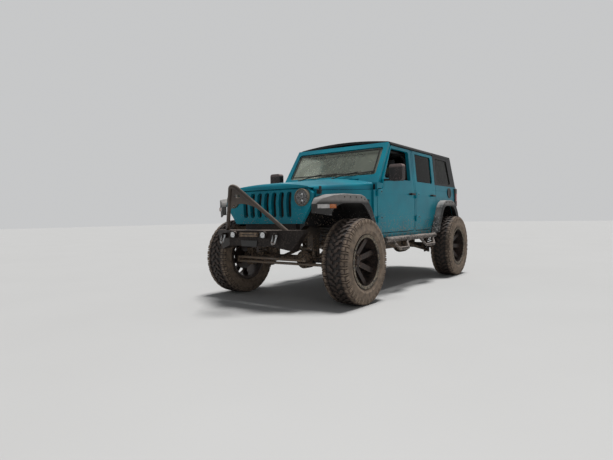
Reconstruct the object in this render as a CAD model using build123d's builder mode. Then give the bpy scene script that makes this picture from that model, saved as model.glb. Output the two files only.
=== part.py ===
"""Lifted four-door off-road 4x4, full size, in millimetres.

+Z is up, the front faces -Y and +X is the vehicle's left side. Every length along the vehicle is
measured from the front axle while a piece is modelled, and finish() then moves the piece so that
the origin is on the ground at the middle of the vehicle's box.
"""

import math
import os

from build123d import *

# Wheels and axles
WHEELBASE = 3008.0
TRACK = 1726.0
TYRE_RADIUS = 470.0
TYRE_HALF_WIDTH = 159.0
TREAD_HALF_WIDTH = 135.0
TYRE_WALL = 22.0
RIM_HALF_WIDTH = 140.0
RIM_LIP_RADIUS = 294.0
BEAD_RADIUS = 279.0
RIM_WALL = 9.0
RIM_DISH = 66.0
SPOKE_COUNT = 8
SPOKE_WIDTH = 62.0
SPOKE_THICKNESS = 26.0
HUB_INSET = 18.0
HUB_RADIUS = 88.0
DISC_RADIUS = 165.0
DISC_THICKNESS = 22.0
STUB_RADIUS = 30.0
FRONT_SPOKE_PHASE = 18.0
REAR_SPOKE_PHASE = 40.0

# Body: half widths from the middle of the vehicle, and heights
SILL_HALF = 774.0
BODY_HALF = 792.0
BELT_HALF = 782.0
ROOF_HALF = 727.0
LEDGE = 8.0
SILL_Z = 690.0
DOOR_BOTTOM_Z = 752.0
BELT_Z = 1425.0
DOOR_TOP_Z = 1878.0
WINDOW_BASE_Z = 1440.0
WINDOW_TOP_Z = 1840.0
ROOF_EDGE_Z = 1925.0
ROOF_CROWN_Z = 1982.0
ROOF_WALL = 32.0
FLOOR_Z = 726.0
REAR_FLOOR_Z = 842.0
FLOOR_THICKNESS = 14.0
PANEL_WALL = 60.0
DOOR_WALL = 68.0
FRAME_WALL = 44.0
SHUT_GAP = 9.0
HINGE_RADIUS = 11.0
HINGE_X = BODY_HALF + HINGE_RADIUS + 2
GLASS = 5.0
SEAM = 0.3

# Stations along the vehicle, from the front axle
GRILLE_Y = -478.0
GRILLE_WALL = 44.0
FENDER_END_Y = 560.0
FIREWALL_Y = 638.0
HOOD_END_Y = 650.0
COWL_Y = 664.0
WINDSHIELD_Y = 742.0
COWL_TOP_Z = 1369.0
HEADER_Y = 1114.0
PILLAR_DEPTH = 52.0
FRONT_DOOR_Y = 662.0
B_PILLAR_Y = WHEELBASE - 1208
B_PILLAR_WIDTH = 56.0
REAR_DOOR_END_Y = WHEELBASE - 408
RISER_Y = WHEELBASE - 632
TAIL_Y = WHEELBASE + 542
ROOF_TAIL_Y = TAIL_Y - 150
RAIL_END_Y = TAIL_Y - 62
TAILGATE_HALF = 578.0
TAILGATE_WALL = 60.0
TAILGATE_FOOT_Z = 866.0
TAIL_HINGE_X = -620.0
TAIL_HINGE_Y = TAIL_Y + HINGE_RADIUS + 3

# Nose
GRILLE_TOP_HALF = 622.0
GRILLE_FOOT_HALF = 478.0
GRILLE_TOP_Z = 1262.0
GRILLE_FOOT_Z = 889.0
SLOT_COUNT = 7
SLOT_PITCH = 106.0
SLOT_WIDTH = 66.0
SLOT_TOP_Z = 1236.0
SLOT_FOOT_Z = 958.0
HEADLAMP_X = 505.0
HEADLAMP_Z = 1167.0
HEADLAMP_RADIUS = 92.0
HOOD_FRONT_HALF = 600.0
HOOD_REAR_HALF = 738.0
HOOD_FRONT_CROWN = 1333.0
HOOD_REAR_CROWN = 1450.0
HOOD_SKIRT_FRONT_Z = 1246.0
HOOD_SKIRT_REAR_Z = 1284.0
HOOD_WALL = 22.0
HOOD_GAP = 7.0
HOOD_HINGE_X = 470.0
HOOD_HINGE_Y = 657.0
HOOD_HINGE_Z = 1425.0
HOOD_HINGE_RADIUS = 6.0
HOOD_BARREL = 40.0
COWL_CROWN_Y = 682.0
COWL_CROWN_Z = 1436.0
COWL_CROWN_HALF = 668.0
FLARE_HALF = 890.0
FLARE_WALL = 14.0
LINER_X = 500.0
WHEELHOUSE_X = 548.0

# Chassis, steering and the parts hung on it
RAIL_WIDTH = 78.0
RAIL_X = 470.0
AXLE_TUBE_RADIUS = 41.0
FRONT_DIFF_X = 225.0
KINGPIN_X = TRACK / 2 - 148
KINGPIN_RADIUS = 16.0
PIN_GAP = 0.15
OPEN_PIN_GAP = 0.6
KNUCKLE_HALF_HEIGHT = 76.0
EAR_THICKNESS = 30.0
STEERING_ARM = 185.0
ARM_Z = 440.0
ARM_THICKNESS = 22.0
LINK_PIN_RADIUS = 10.0
LINK_EYE_RADIUS = 23.0
TIE_ROD_Z = 425.0
DRAG_LINK_Z = 477.0
PITMAN_X = 372.0
PITMAN_Y = -95.0
PITMAN_Z = 492.0
PITMAN_SHAFT_RADIUS = 18.0
SPARE_Z = 1216.0
SPARE_GAP = 78.0
BUMPER_TOP_Z = 827.0
BUMPER_NOSE_Y = -756.0
STINGER_TUBE = 21.0
STINGER_BEND = 60.0
STINGER_FOOT_Y = -664.0
STINGER_HALF_ANGLE = math.radians(34.6)
STINGER_APEX_Y = -994.0
STINGER_APEX_Z = 1284.0
STEP_TUBE = 34.0
STEP_X = 846.0
STEP_Z = 664.0
STEP_FOOT_Z = 540.0

AXLE_Z = TYRE_RADIUS
SPARE_Y = TAIL_Y + SPARE_GAP + TYRE_HALF_WIDTH
FRONT_END_Y = STINGER_APEX_Y - STINGER_TUBE
REAR_END_Y = SPARE_Y + TYRE_HALF_WIDTH
MIDDLE_Y = (FRONT_END_Y + REAR_END_Y) / 2
RAKE = (HEADER_Y - WINDSHIELD_Y) / (1918.0 - COWL_TOP_Z)
B_FRONT_Y = B_PILLAR_Y - B_PILLAR_WIDTH / 2
B_REAR_Y = B_PILLAR_Y + B_PILLAR_WIDTH / 2

os.makedirs("parts", exist_ok=True)


def finish(builder, name):
    """Label a piece, move it to the row's origin and write it as a STEP file."""
    part = builder.part.moved(Location((0, -MIDDLE_Y, 0)))
    part.label = name
    export_step(part, f"parts/{name}.step")


def cross(y):
    """A plane across the vehicle: its x is X, its y is Z and it looks forward."""
    return Plane(origin=(0, y, 0), x_dir=(1, 0, 0), z_dir=(0, -1, 0))


def side(x):
    """A plane along the vehicle: its x is Y, its y is Z and it looks to the left side."""
    return Plane(origin=(x, 0, 0), x_dir=(0, 1, 0), z_dir=(1, 0, 0))


def level(z):
    """A horizontal plane that looks up."""
    return Plane.XY.offset(z)


def slab(plane, points, depth, radius=0.0, mode=Mode.ADD):
    """Extrude a closed outline, its corners rounded, in the part being built."""
    with BuildSketch(plane) as profile:
        with BuildLine():
            Polyline(*points, close=True)
        make_face()
        if radius:
            fillet(profile.vertices(), radius)
    return extrude(profile.sketch, amount=depth, mode=mode)


def block(x, y, z, mode=Mode.ADD):
    """A box between two X values, two Y values and two Z values."""
    points = [(x[0], y[0]), (x[1], y[0]), (x[1], y[1]), (x[0], y[1])]
    return slab(level(z[0]), points, z[1] - z[0], mode=mode)


def rod(start, end, radius, mode=Mode.ADD):
    """A round bar between two points."""
    span = Vector(*end) - Vector(*start)
    with BuildSketch(Plane(origin=start, z_dir=span)) as profile:
        Circle(radius)
    return extrude(profile.sketch, amount=span.length, mode=mode)


def tube_run(points, bend, radius, mode=Mode.ADD):
    """A round tube swept along straight runs joined by bends."""
    with BuildLine() as path:
        FilletPolyline(*points, radius=bend)
    with BuildSketch(path.line ^ 0) as profile:
        Circle(radius)
    return sweep(profile.sketch, path=path.line, mode=mode)


def grown(points, by):
    """The outline with every edge moved outwards by a distance, or inwards if it is negative."""
    corners = [Vector(*point) for point in points]
    area = sum(a.X * b.Y - b.X * a.Y for a, b in zip(corners, corners[1:] + corners[:1]))
    turn = math.copysign(1, area) * by
    moved = []
    for before, at, after in zip(corners[-1:] + corners[:-1], corners, corners[1:] + corners[:1]):
        into = (at - before).normalized()
        out = (after - at).normalized()
        normals = Vector(into.Y + out.Y, -into.X - out.X)
        corner = at + normals * (turn / (1 + into.dot(out)))
        moved.append((corner.X, corner.Y))
    return moved


def upper_x(z):
    """The half width of the leaning upper side at a height."""
    share = (z - BELT_Z) / (ROOF_EDGE_Z - BELT_Z)
    return BELT_HALF - LEDGE + share * (ROOF_HALF - BELT_HALF + LEDGE)


def pillar_y(z):
    """The station of the windshield's front face at a height."""
    return WINDSHIELD_Y + (z - COWL_TOP_Z) * RAKE


def side_strip(wall, foot_z=SILL_Z):
    """The section of the body side below the belt, as half width and height."""
    outer = [(SILL_HALF, foot_z), (BODY_HALF, 900), (BODY_HALF, 1250), (BELT_HALF, BELT_Z)]
    return outer + [(x - wall, z) for x, z in reversed(outer)]


def upper_strip(wall, top_z, inset=0.0):
    """The section of the leaning side above the belt, from an inset to a wall's depth."""
    outer = [(upper_x(BELT_Z) - inset, BELT_Z), (upper_x(top_z) - inset, top_z)]
    return outer + [(x - wall, z) for x, z in reversed(outer)]


def lengthwise(points, start_y, end_y, mode=Mode.ADD):
    """Extrude a section of the vehicle from one station to another."""
    return slab(cross(end_y), points, end_y - start_y, mode=mode)


# Door and window outlines, as station and height
PILLAR_BACK = PILLAR_DEPTH / math.cos(math.atan(RAKE)) + SHUT_GAP + 2
PILLAR_TRIM = 82.0
DOOR_CORNER = 30.0
FRONT_DOOR = [
    (FRONT_DOOR_Y, DOOR_BOTTOM_Z),
    (B_FRONT_Y, DOOR_BOTTOM_Z),
    (B_FRONT_Y, DOOR_TOP_Z),
    (pillar_y(DOOR_TOP_Z) + PILLAR_BACK, DOOR_TOP_Z),
    (pillar_y(1420) + PILLAR_BACK, 1420),
    (815, 1298),
    (FRONT_DOOR_Y, 1287),
]
FRONT_WINDOW = [
    (pillar_y(WINDOW_BASE_Z) + PILLAR_BACK + 26, WINDOW_BASE_Z),
    (B_FRONT_Y - PILLAR_TRIM, WINDOW_BASE_Z),
    (B_FRONT_Y - PILLAR_TRIM, WINDOW_TOP_Z),
    (pillar_y(WINDOW_TOP_Z) + PILLAR_BACK + 20, WINDOW_TOP_Z),
]
REAR_DOOR = [
    (B_REAR_Y, DOOR_BOTTOM_Z),
    (REAR_DOOR_END_Y - 240, DOOR_BOTTOM_Z),
    (REAR_DOOR_END_Y - 160, 860),
    (REAR_DOOR_END_Y - 60, 990),
    (REAR_DOOR_END_Y, 1100),
    (REAR_DOOR_END_Y, DOOR_TOP_Z),
    (B_REAR_Y, DOOR_TOP_Z),
]
REAR_WINDOW = [
    (B_REAR_Y + PILLAR_TRIM, WINDOW_BASE_Z),
    (REAR_DOOR_END_Y - 100, WINDOW_BASE_Z),
    (REAR_DOOR_END_Y - 100, WINDOW_TOP_Z),
    (B_REAR_Y + PILLAR_TRIM, WINDOW_TOP_Z),
]
QUARTER_WINDOW = [
    (REAR_DOOR_END_Y + 96, WINDOW_BASE_Z + 16),
    (TAIL_Y - 228, WINDOW_BASE_Z + 16),
    (ROOF_TAIL_Y - 189, WINDOW_TOP_Z + 6),
    (REAR_DOOR_END_Y + 96, WINDOW_TOP_Z + 6),
]

# Wheel arches as station from their axle and height: the flare's outer edge, then its lip
FRONT_ARCH = [
    (-492, 1000, -392, 1000),
    (-490, 1096, -376, 1052),
    (-452, 1148, -346, 1082),
    (-380, 1180, -300, 1098),
    (-270, 1200, -240, 1104),
    (100, 1200, 90, 1104),
    (180, 1182, 150, 1084),
    (262, 1128, 210, 1042),
    (340, 1050, 272, 980),
    (430, 905, 352, 888),
    (550, 700, 484, 700),
]
REAR_ARCH = [
    (-604, 698, -512, 698),
    (-548, 820, -460, 815),
    (-470, 960, -392, 940),
    (-400, 1080, -335, 1035),
    (-320, 1155, -272, 1085),
    (-220, 1192, -200, 1104),
    (60, 1195, 50, 1104),
    (170, 1165, 130, 1080),
    (260, 1105, 195, 1030),
    (330, 1020, 255, 955),
    (400, 900, 315, 870),
    (520, 700, 440, 700),
]
# The front flares seen from above: a face across the nose, swept back to the side
FLARE_PLAN = [(400, -495), (678, -495), (872, -352), (FLARE_HALF, -318), (FLARE_HALF, 900),
              (400, 900)]
ARCH_FOOT_Z = 500.0


def arch_outer(table, axle_y, foot_z=None):
    """A flare's outer edge, closed straight across its feet or at a lower height."""
    outer = [(axle_y + y, z) for y, z, _, _ in table]
    if foot_z is None:
        return outer
    return outer + [(outer[-1][0], foot_z), (outer[0][0], foot_z)]


def arch_lip(table, axle_y):
    """The inner edge of a flare's lip, run down past its feet."""
    inner = [(axle_y + y, z) for _, _, y, z in table]
    return inner + [(inner[-1][0], ARCH_FOOT_Z), (inner[0][0], ARCH_FOOT_Z)]


# Control arms and track bars: axle end, frame end, radius
CONTROL_ARMS = [
    ((420, 66, 400), (470, 900, 548), 22),
    ((300, 40, 626), (306, 560, 690), 17),
    ((500, WHEELBASE - 66, 400), (470, WHEELBASE - 858, 548), 22),
    ((230, WHEELBASE - 30, 640), (366, WHEELBASE - 528, 680), 17),
]
ARM_EYE_HALF = 27.0
TRACK_BARS = [
    ((-385, 96, 566), (300, 96, 736), 15),
    ((430, WHEELBASE + 110, 566), (-350, WHEELBASE + 110, 680), 15),
]
CLEVIS_PLATE = 7.0


def clevis(eye, radius, reach_z):
    """Two plates beside a control arm's eye, run up or down to what carries them."""
    x, y, z = eye
    low, high = sorted((z - radius - 8 if reach_z > z else z + radius + 8, reach_z))
    for inner in (x - ARM_EYE_HALF - SEAM - CLEVIS_PLATE, x + ARM_EYE_HALF + SEAM):
        block((inner, inner + CLEVIS_PLATE), (y - radius - 6, y + radius + 6), (low, high))


# Chassis frame: rails cut from a side view and a plan view
RAIL_SIDE = [
    (-560, 700, 800),
    (-330, 700, 800),
    (-180, 775, 880),
    (260, 775, 880),
    (620, 590, 706),
    (WHEELBASE - 608, 590, 706),
    (WHEELBASE - 308, 720, 826),
    (WHEELBASE + 172, 720, 826),
    (TAIL_Y - 222, 640, 735),
    (RAIL_END_Y, 640, 735),
]
RAIL_PLAN = [(-560, 372), (420, 372), (760, RAIL_X), (WHEELBASE - 808, RAIL_X),
             (WHEELBASE - 448, 430), (RAIL_END_Y, 430)]
CROSS_BARS = [
    (-470, 750, 38, 360),
    (1440, 600, 22, 455),
    (WHEELBASE - 728, 690, 32, 455),
    (WHEELBASE - 228, 775, 34, 420),
    (TAIL_Y - 122, 690, 34, 420),
]
ENGINE_HALF = 268.0
FRONT_TOWER_Z = 838.0
REAR_TOWER_Z = 806.0
TOWER_PLATE = 14.0
BODY_PUCKS = [(RAIL_X, 860, 700, FLOOR_Z), (RAIL_X, 1500, 700, FLOOR_Z),
              (RAIL_X, WHEELBASE - 788, 700, FLOOR_Z), (430, WHEELBASE - 128, 820, REAR_FLOOR_Z),
              (430, TAIL_Y - 142, 730, REAR_FLOOR_Z)]
with BuildPart() as frame:
    lower_edge = [(y, low) for y, low, _ in RAIL_SIDE]
    upper_edge = [(y, high) for y, _, high in RAIL_SIDE]
    slab(side(250), lower_edge + upper_edge[::-1], 350)
    inner_edge = [(x - RAIL_WIDTH / 2, y) for y, x in RAIL_PLAN]
    outer_edge = [(x + RAIL_WIDTH / 2, y) for y, x in RAIL_PLAN]
    slab(level(500), outer_edge + inner_edge[::-1], 450, mode=Mode.INTERSECT)
    # Spring towers outside the rails
    block((400, 600), (-78, 150), (FRONT_TOWER_Z - TOWER_PLATE, FRONT_TOWER_Z))
    block((460, 626), (WHEELBASE - 78, WHEELBASE + 158), (REAR_TOWER_Z - TOWER_PLATE, REAR_TOWER_Z))
    # Brackets that hold the control arms
    clevis(CONTROL_ARMS[0][1], 30, 600)
    clevis(CONTROL_ARMS[1][1], 25, 724)
    block((270, 382), (530, 590), (717, 724))
    clevis(CONTROL_ARMS[2][1], 30, 600)
    clevis(CONTROL_ARMS[3][1], 25, 714)
    block((336, 412), (WHEELBASE - 558, WHEELBASE - 498), (707, 714))
    # Engine mounts, and the pucks that carry the body
    block((ENGINE_HALF + SEAM, 340), (270, 350), (790, 840))
    for puck_x, puck_y, puck_z, puck_top in BODY_PUCKS:
        rod((puck_x, puck_y, puck_z), (puck_x, puck_y, puck_top - SEAM), 34)
    mirror(about=Plane.YZ)
    for bar_y, bar_z, bar_radius, bar_reach in CROSS_BARS:
        rod((-bar_reach, bar_y, bar_z), (bar_reach, bar_y, bar_z), bar_radius)
    # Track bar brackets, the front one on the left rail and the rear one on the right
    block((290, 345), (60, 96 - 18 - SEAM), (712, 800))
    block((-392, -340), (WHEELBASE + 70, WHEELBASE + 92 - SEAM), (664, 780))
    # Steering box under the left rail
    block((330, 404), (-160, -30), (600, 780))
    rod((PITMAN_X, PITMAN_Y, 590), (PITMAN_X, PITMAN_Y, 700), PITMAN_SHAFT_RADIUS + SEAM,
        mode=Mode.SUBTRACT)
finish(frame, "frame")

with BuildPart() as powertrain:
    block((-ENGINE_HALF, ENGINE_HALF), (40, 600), (812, 1200))
    fillet(powertrain.edges().filter_by(Axis.Z), 30)
    with BuildSketch(cross(598)) as bell:
        with Locations((0, 800)):
            Circle(160)
    with BuildSketch(cross(1240)) as gearbox:
        with Locations((0, 790)):
            Circle(95)
    loft([bell.sketch.face(), gearbox.sketch.face()])
    block((-95, 150), (1180, 1400), (640, 880))
    block((90, 260), (1222, 1390), (596, 715))
finish(powertrain, "engine_and_gearbox")



def banjo(x, start_y, end_y, radius):
    """A differential's round housing with rounded rims."""
    with BuildSketch(Plane(origin=(x, start_y, AXLE_Z), x_dir=(0, 0, 1), z_dir=(1, 0, 0))) as half:
        with BuildLine():
            depth = end_y - start_y
            Polyline((0, 0), (radius - 36, 0), (radius, -36), (radius, 36 - depth),
                     (radius - 36, -depth), (0, -depth), close=True)
        make_face()
    revolve(half.sketch, axis=Axis((x, start_y, AXLE_Z), (0, 1, 0)))


AXLE_END_X = KINGPIN_X - 75
with BuildPart() as front_axle:
    rod((-AXLE_END_X, 0, AXLE_Z), (AXLE_END_X, 0, AXLE_Z), AXLE_TUBE_RADIUS)
    # Spring seats, shock brackets and the ends that hold the kingpins
    block((425, 535), (-58, 58), (500, 529))
    block((548, 566), (0, 130), (440, 454))
    clevis(CONTROL_ARMS[0][0], 30, 452)
    block((AXLE_END_X - 14, AXLE_END_X + 14), (-36, 36),
          (AXLE_Z - KNUCKLE_HALF_HEIGHT - 1 - EAR_THICKNESS,
           AXLE_Z + KNUCKLE_HALF_HEIGHT + 1 + EAR_THICKNESS))
    for ear_z in (AXLE_Z - KNUCKLE_HALF_HEIGHT - 1 - EAR_THICKNESS,
                  AXLE_Z + KNUCKLE_HALF_HEIGHT + 1):
        block((AXLE_END_X, KINGPIN_X), (-28, 28), (ear_z, ear_z + EAR_THICKNESS))
        rod((KINGPIN_X, 0, ear_z), (KINGPIN_X, 0, ear_z + EAR_THICKNESS), 28)
    rod((KINGPIN_X, 0, 300), (KINGPIN_X, 0, 640), KINGPIN_RADIUS + PIN_GAP, mode=Mode.SUBTRACT)
    clevis(CONTROL_ARMS[1][0], 25, 500)
    block((262, 338), (8, 72), (490, 580))
    mirror(about=Plane.YZ)
    # Differential on the left, with its nose to the rear
    banjo(FRONT_DIFF_X, -130, 60, 104)
    rod((FRONT_DIFF_X, 50, 478), (FRONT_DIFF_X, 150, 478), 50)
    block((-411, -359), (30, 96 - 18 - SEAM), (490, 590))
finish(front_axle, "front_axle")

BEARING_RADIUS = 62.0
BEARING_X = (KINGPIN_X - 15, KINGPIN_X + 43)
REAR_TUBE_RADIUS = 44.0
with BuildPart() as rear_axle:
    rod((0, WHEELBASE, AXLE_Z), (KINGPIN_X + 5, WHEELBASE, AXLE_Z), REAR_TUBE_RADIUS)
    block((490, 600), (WHEELBASE - 58, WHEELBASE + 58), (500, 519))
    block((536, 554), (WHEELBASE, WHEELBASE + 140), (440, 454))
    rod((BEARING_X[0], WHEELBASE, AXLE_Z), (BEARING_X[1], WHEELBASE, AXLE_Z), BEARING_RADIUS)
    rod((BEARING_X[0] - 10, WHEELBASE, AXLE_Z), (BEARING_X[1] + 12, WHEELBASE, AXLE_Z),
        STUB_RADIUS + SEAM, mode=Mode.SUBTRACT)
    clevis(CONTROL_ARMS[2][0], 30, 452)
    clevis(CONTROL_ARMS[3][0], 25, 500)
    block((193, 267), (WHEELBASE - 60, WHEELBASE), (490, 580))
    mirror(about=Plane.YZ)
    banjo(0, WHEELBASE - 70, WHEELBASE + 136, 134)
    rod((0, WHEELBASE - 190, 480), (0, WHEELBASE - 60, 480), 54)
    block((404, 456), (WHEELBASE + 30, WHEELBASE + 92 - SEAM), (495, 590))
finish(rear_axle, "rear_axle")

for name, arms in (("lower_arms", CONTROL_ARMS[::2]), ("upper_arms", CONTROL_ARMS[1::2])):
    with BuildPart() as control_arms:
        for axle_end, frame_end, radius in arms:
            rod(axle_end, frame_end, radius)
            for x, y, z in (axle_end, frame_end):
                rod((x - ARM_EYE_HALF, y, z), (x + ARM_EYE_HALF, y, z), radius + 8)
        mirror(about=Plane.YZ)
    finish(control_arms, name)

with BuildPart() as track_bars:
    for axle_end, frame_end, radius in TRACK_BARS:
        rod(axle_end, frame_end, radius)
        for x, y, z in (axle_end, frame_end):
            rod((x, y - 18, z), (x, y + 18, z), radius + 9)
finish(track_bars, "track_bars")

SPRINGS = [(480, 0, 529, 824, 60, 46), (545, WHEELBASE, 519, 792, 58, 44)]
with BuildPart() as coil_springs:
    for x, y, foot_z, top_z, outer, inner in SPRINGS:
        rod((x, y, foot_z + SEAM), (x, y, top_z - SEAM), outer)
        rod((x, y, foot_z), (x, y, top_z), inner, mode=Mode.SUBTRACT)
    mirror(about=Plane.YZ)
finish(coil_springs, "coil_springs")

SHOCKS = [(557, 112, 454, 824), (545, WHEELBASE + 122, 454, 792)]
with BuildPart() as shock_absorbers:
    for x, y, foot_z, top_z in SHOCKS:
        rod((x, y, foot_z + SEAM), (x, y, foot_z + 210), 26)
        rod((x, y, foot_z + 200), (x, y, top_z - SEAM), 12)
    mirror(about=Plane.YZ)
finish(shock_absorbers, "shock_absorbers")

with BuildPart() as driveshafts:
    for x, front_y, front_z, back_y, back_z, radius in (
            (0, 1400, 676, WHEELBASE - 190, 480, 34), (FRONT_DIFF_X, 150, 478, 1222, 650, 27)):
        rod((x, front_y + SEAM, front_z), (x, front_y + 50, front_z), radius + 4)
        rod((x, front_y + 40, front_z), (x, back_y - 40, back_z), radius)
        rod((x, back_y - 50, back_z), (x, back_y - SEAM, back_z), radius + 4)
finish(driveshafts, "driveshafts")

with BuildPart() as fuel_tank:
    slab(side(72), [(1548, 520), (1580, 490), (2160, 490), (2196, 530), (2196, 700), (1548, 700)],
         RAIL_X - RAIL_WIDTH / 2 - SEAM - 72)
finish(fuel_tank, "fuel_tank")

with BuildPart() as exhaust:
    tube_run([(-225, 400, 812 - SEAM), (-225, 400, 545), (-225, 1570, 545)], 90, 28)
    rod((-225, 1560, 575), (-225, 2130, 575), 74)
    tube_run([(-225, 2120, 600), (-225, WHEELBASE - 668, 600), (-150, WHEELBASE - 368, 700),
              (-150, WHEELBASE + 152, 700), (-300, TAIL_Y - 170, 590), (-300, TAIL_Y - 22, 590)],
             90, 26)
finish(exhaust, "exhaust")

# The body tub: sills, cowl, pillars, rear quarters and wheelhouses
CORNER_X = TAILGATE_HALF + SHUT_GAP
TAIL_LAMP = ((668, 806), (TAIL_Y - 102, TAIL_Y + 24), (1104, 1404))
PAST_TAIL_Y = TAIL_Y + 100
TUB_SIDE = [
    (FENDER_END_Y + 6, SILL_Z),
    (FENDER_END_Y + 6, HOOD_SKIRT_REAR_Z - HOOD_GAP),
    (HOOD_END_Y + 6, HOOD_SKIRT_REAR_Z - HOOD_GAP),
    (COWL_Y, COWL_TOP_Z),
    (900, COWL_TOP_Z),
    (940, BELT_Z),
    (TAIL_Y, BELT_Z),
    (TAIL_Y, 780),
    (TAIL_Y - 30, SILL_Z),
]
with BuildPart() as cowl_crown:
    with BuildSketch(cross(WINDSHIELD_Y + 100)) as crown_section:
        with BuildLine():
            crown_arc = ThreePointArc((-COWL_CROWN_HALF, COWL_TOP_Z), (0, COWL_CROWN_Z),
                                      (COWL_CROWN_HALF, COWL_TOP_Z))
            Polyline(crown_arc @ 1, (COWL_CROWN_HALF, COWL_TOP_Z - 20),
                     (-COWL_CROWN_HALF, COWL_TOP_Z - 20), crown_arc @ 0)
        make_face()
    extrude(crown_section.sketch, amount=300)
    crown_side = [(COWL_CROWN_Y, COWL_TOP_Z - 20), (COWL_CROWN_Y, COWL_CROWN_Z + 20)]
    crown_side += [(pillar_y(z) - 2 * SEAM, z) for z in (COWL_CROWN_Z + 20, COWL_TOP_Z - 20)]
    slab(side(-800), crown_side, 1600, mode=Mode.INTERSECT)
with BuildPart() as body_tub:
    lengthwise(side_strip(PANEL_WALL), FENDER_END_Y, TAIL_Y)
    slab(side(600), TUB_SIDE, 300, mode=Mode.INTERSECT)
    # The pillar between the doors, up to the roof
    lengthwise(upper_strip(FRAME_WALL, DOOR_TOP_Z), B_FRONT_Y + SHUT_GAP, B_REAR_Y - SHUT_GAP)
    for door in (FRONT_DOOR, REAR_DOOR):
        slab(side(600), grown(door, SHUT_GAP), 300, DOOR_CORNER + SHUT_GAP, mode=Mode.SUBTRACT)
    slab(side(600), grown(arch_outer(REAR_ARCH, WHEELBASE, ARCH_FOOT_Z), -FLARE_WALL - 2), 300,
         mode=Mode.SUBTRACT)
    # Rear corner panels
    block((CORNER_X, 740), (TAIL_Y - TAILGATE_WALL, TAIL_Y), (800, BELT_Z))
    # Wheelhouse
    slab(side(WHEELHOUSE_X), grown(arch_outer(REAR_ARCH, WHEELBASE), -2), 770 - WHEELHOUSE_X)
    slab(side(WHEELHOUSE_X + FLARE_WALL), grown(arch_outer(REAR_ARCH, WHEELBASE, ARCH_FOOT_Z),
                                                -2 - FLARE_WALL), 400, mode=Mode.SUBTRACT)
    block((WHEELHOUSE_X - 10, 640), (2000, PAST_TAIL_Y), (600, REAR_FLOOR_Z), mode=Mode.SUBTRACT)
    mirror(about=Plane.YZ)
    # The sill below the tailgate
    block((-770, 770), (TAIL_Y - TAILGATE_WALL, TAIL_Y), (760, TAILGATE_FOOT_Z - SHUT_GAP))
    # Firewall with its hole for the gearbox, and the cowl with its crown
    block((-740, 740), (FIREWALL_Y, HOOD_END_Y), (FLOOR_Z, HOOD_SKIRT_REAR_Z - HOOD_GAP))
    block((-700, 700), (FIREWALL_Y, COWL_Y + 10), (HOOD_SKIRT_REAR_Z - HOOD_GAP - 20,
                                                  HOOD_SKIRT_REAR_Z - HOOD_GAP))
    block((-700, 700), (COWL_Y, 748), (HOOD_SKIRT_REAR_Z - HOOD_GAP - 20, COWL_TOP_Z))
    block((-770, 770), (COWL_Y, 800), (COWL_TOP_Z - 36, COWL_TOP_Z))
    add(cowl_crown.part)
    block((-164, 164), (FIREWALL_Y - 10, HOOD_END_Y + 10), (FLOOR_Z - 10, 974), mode=Mode.SUBTRACT)
    # Hood hinge barrels on the cowl
    for sign in (1, -1):
        barrel_x = sorted((sign * (HOOD_HINGE_X + 1), sign * (HOOD_HINGE_X + HOOD_BARREL + 1)))
        rod((barrel_x[0], HOOD_HINGE_Y, HOOD_HINGE_Z), (barrel_x[1], HOOD_HINGE_Y, HOOD_HINGE_Z),
            HOOD_HINGE_RADIUS)
        block(barrel_x, (HOOD_HINGE_Y, 700), (HOOD_HINGE_Z - HOOD_HINGE_RADIUS,
                                              HOOD_HINGE_Z + HOOD_HINGE_RADIUS))
        block(barrel_x, (COWL_CROWN_Y + 2, 700), (COWL_TOP_Z, HOOD_HINGE_Z))
    for sign in (1, -1):
        lamp_x = sorted((sign * (TAIL_LAMP[0][0] - SEAM), sign * 900))
        block(lamp_x, (TAIL_LAMP[1][0] - SEAM, PAST_TAIL_Y),
              (TAIL_LAMP[2][0] - SEAM, TAIL_LAMP[2][1] + SEAM), mode=Mode.SUBTRACT)
    # Hinge barrels of the doors and the tailgate
    for hinge_y, hinge_z in ((FRONT_DOOR_Y - 17, 880), (FRONT_DOOR_Y - 17, 1200),
                             (B_PILLAR_Y, 880), (B_PILLAR_Y, 1200)):
        for sign in (1, -1):
            rod((sign * HINGE_X, hinge_y, hinge_z), (sign * HINGE_X, hinge_y, hinge_z + 40),
                HINGE_RADIUS)
            leaf_x = sorted((sign * (BODY_HALF - 8), sign * HINGE_X))
            block(leaf_x, (hinge_y - 8, hinge_y + 8), (hinge_z, hinge_z + 40))
    for hinge_z in (960, 1300):
        rod((TAIL_HINGE_X, TAIL_HINGE_Y, hinge_z), (TAIL_HINGE_X, TAIL_HINGE_Y, hinge_z + 50),
            HINGE_RADIUS)
        block((TAIL_HINGE_X - 8, TAIL_HINGE_X + 8), (TAIL_Y - 8, TAIL_HINGE_Y),
              (hinge_z, hinge_z + 50))
finish(body_tub, "body_tub")

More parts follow.
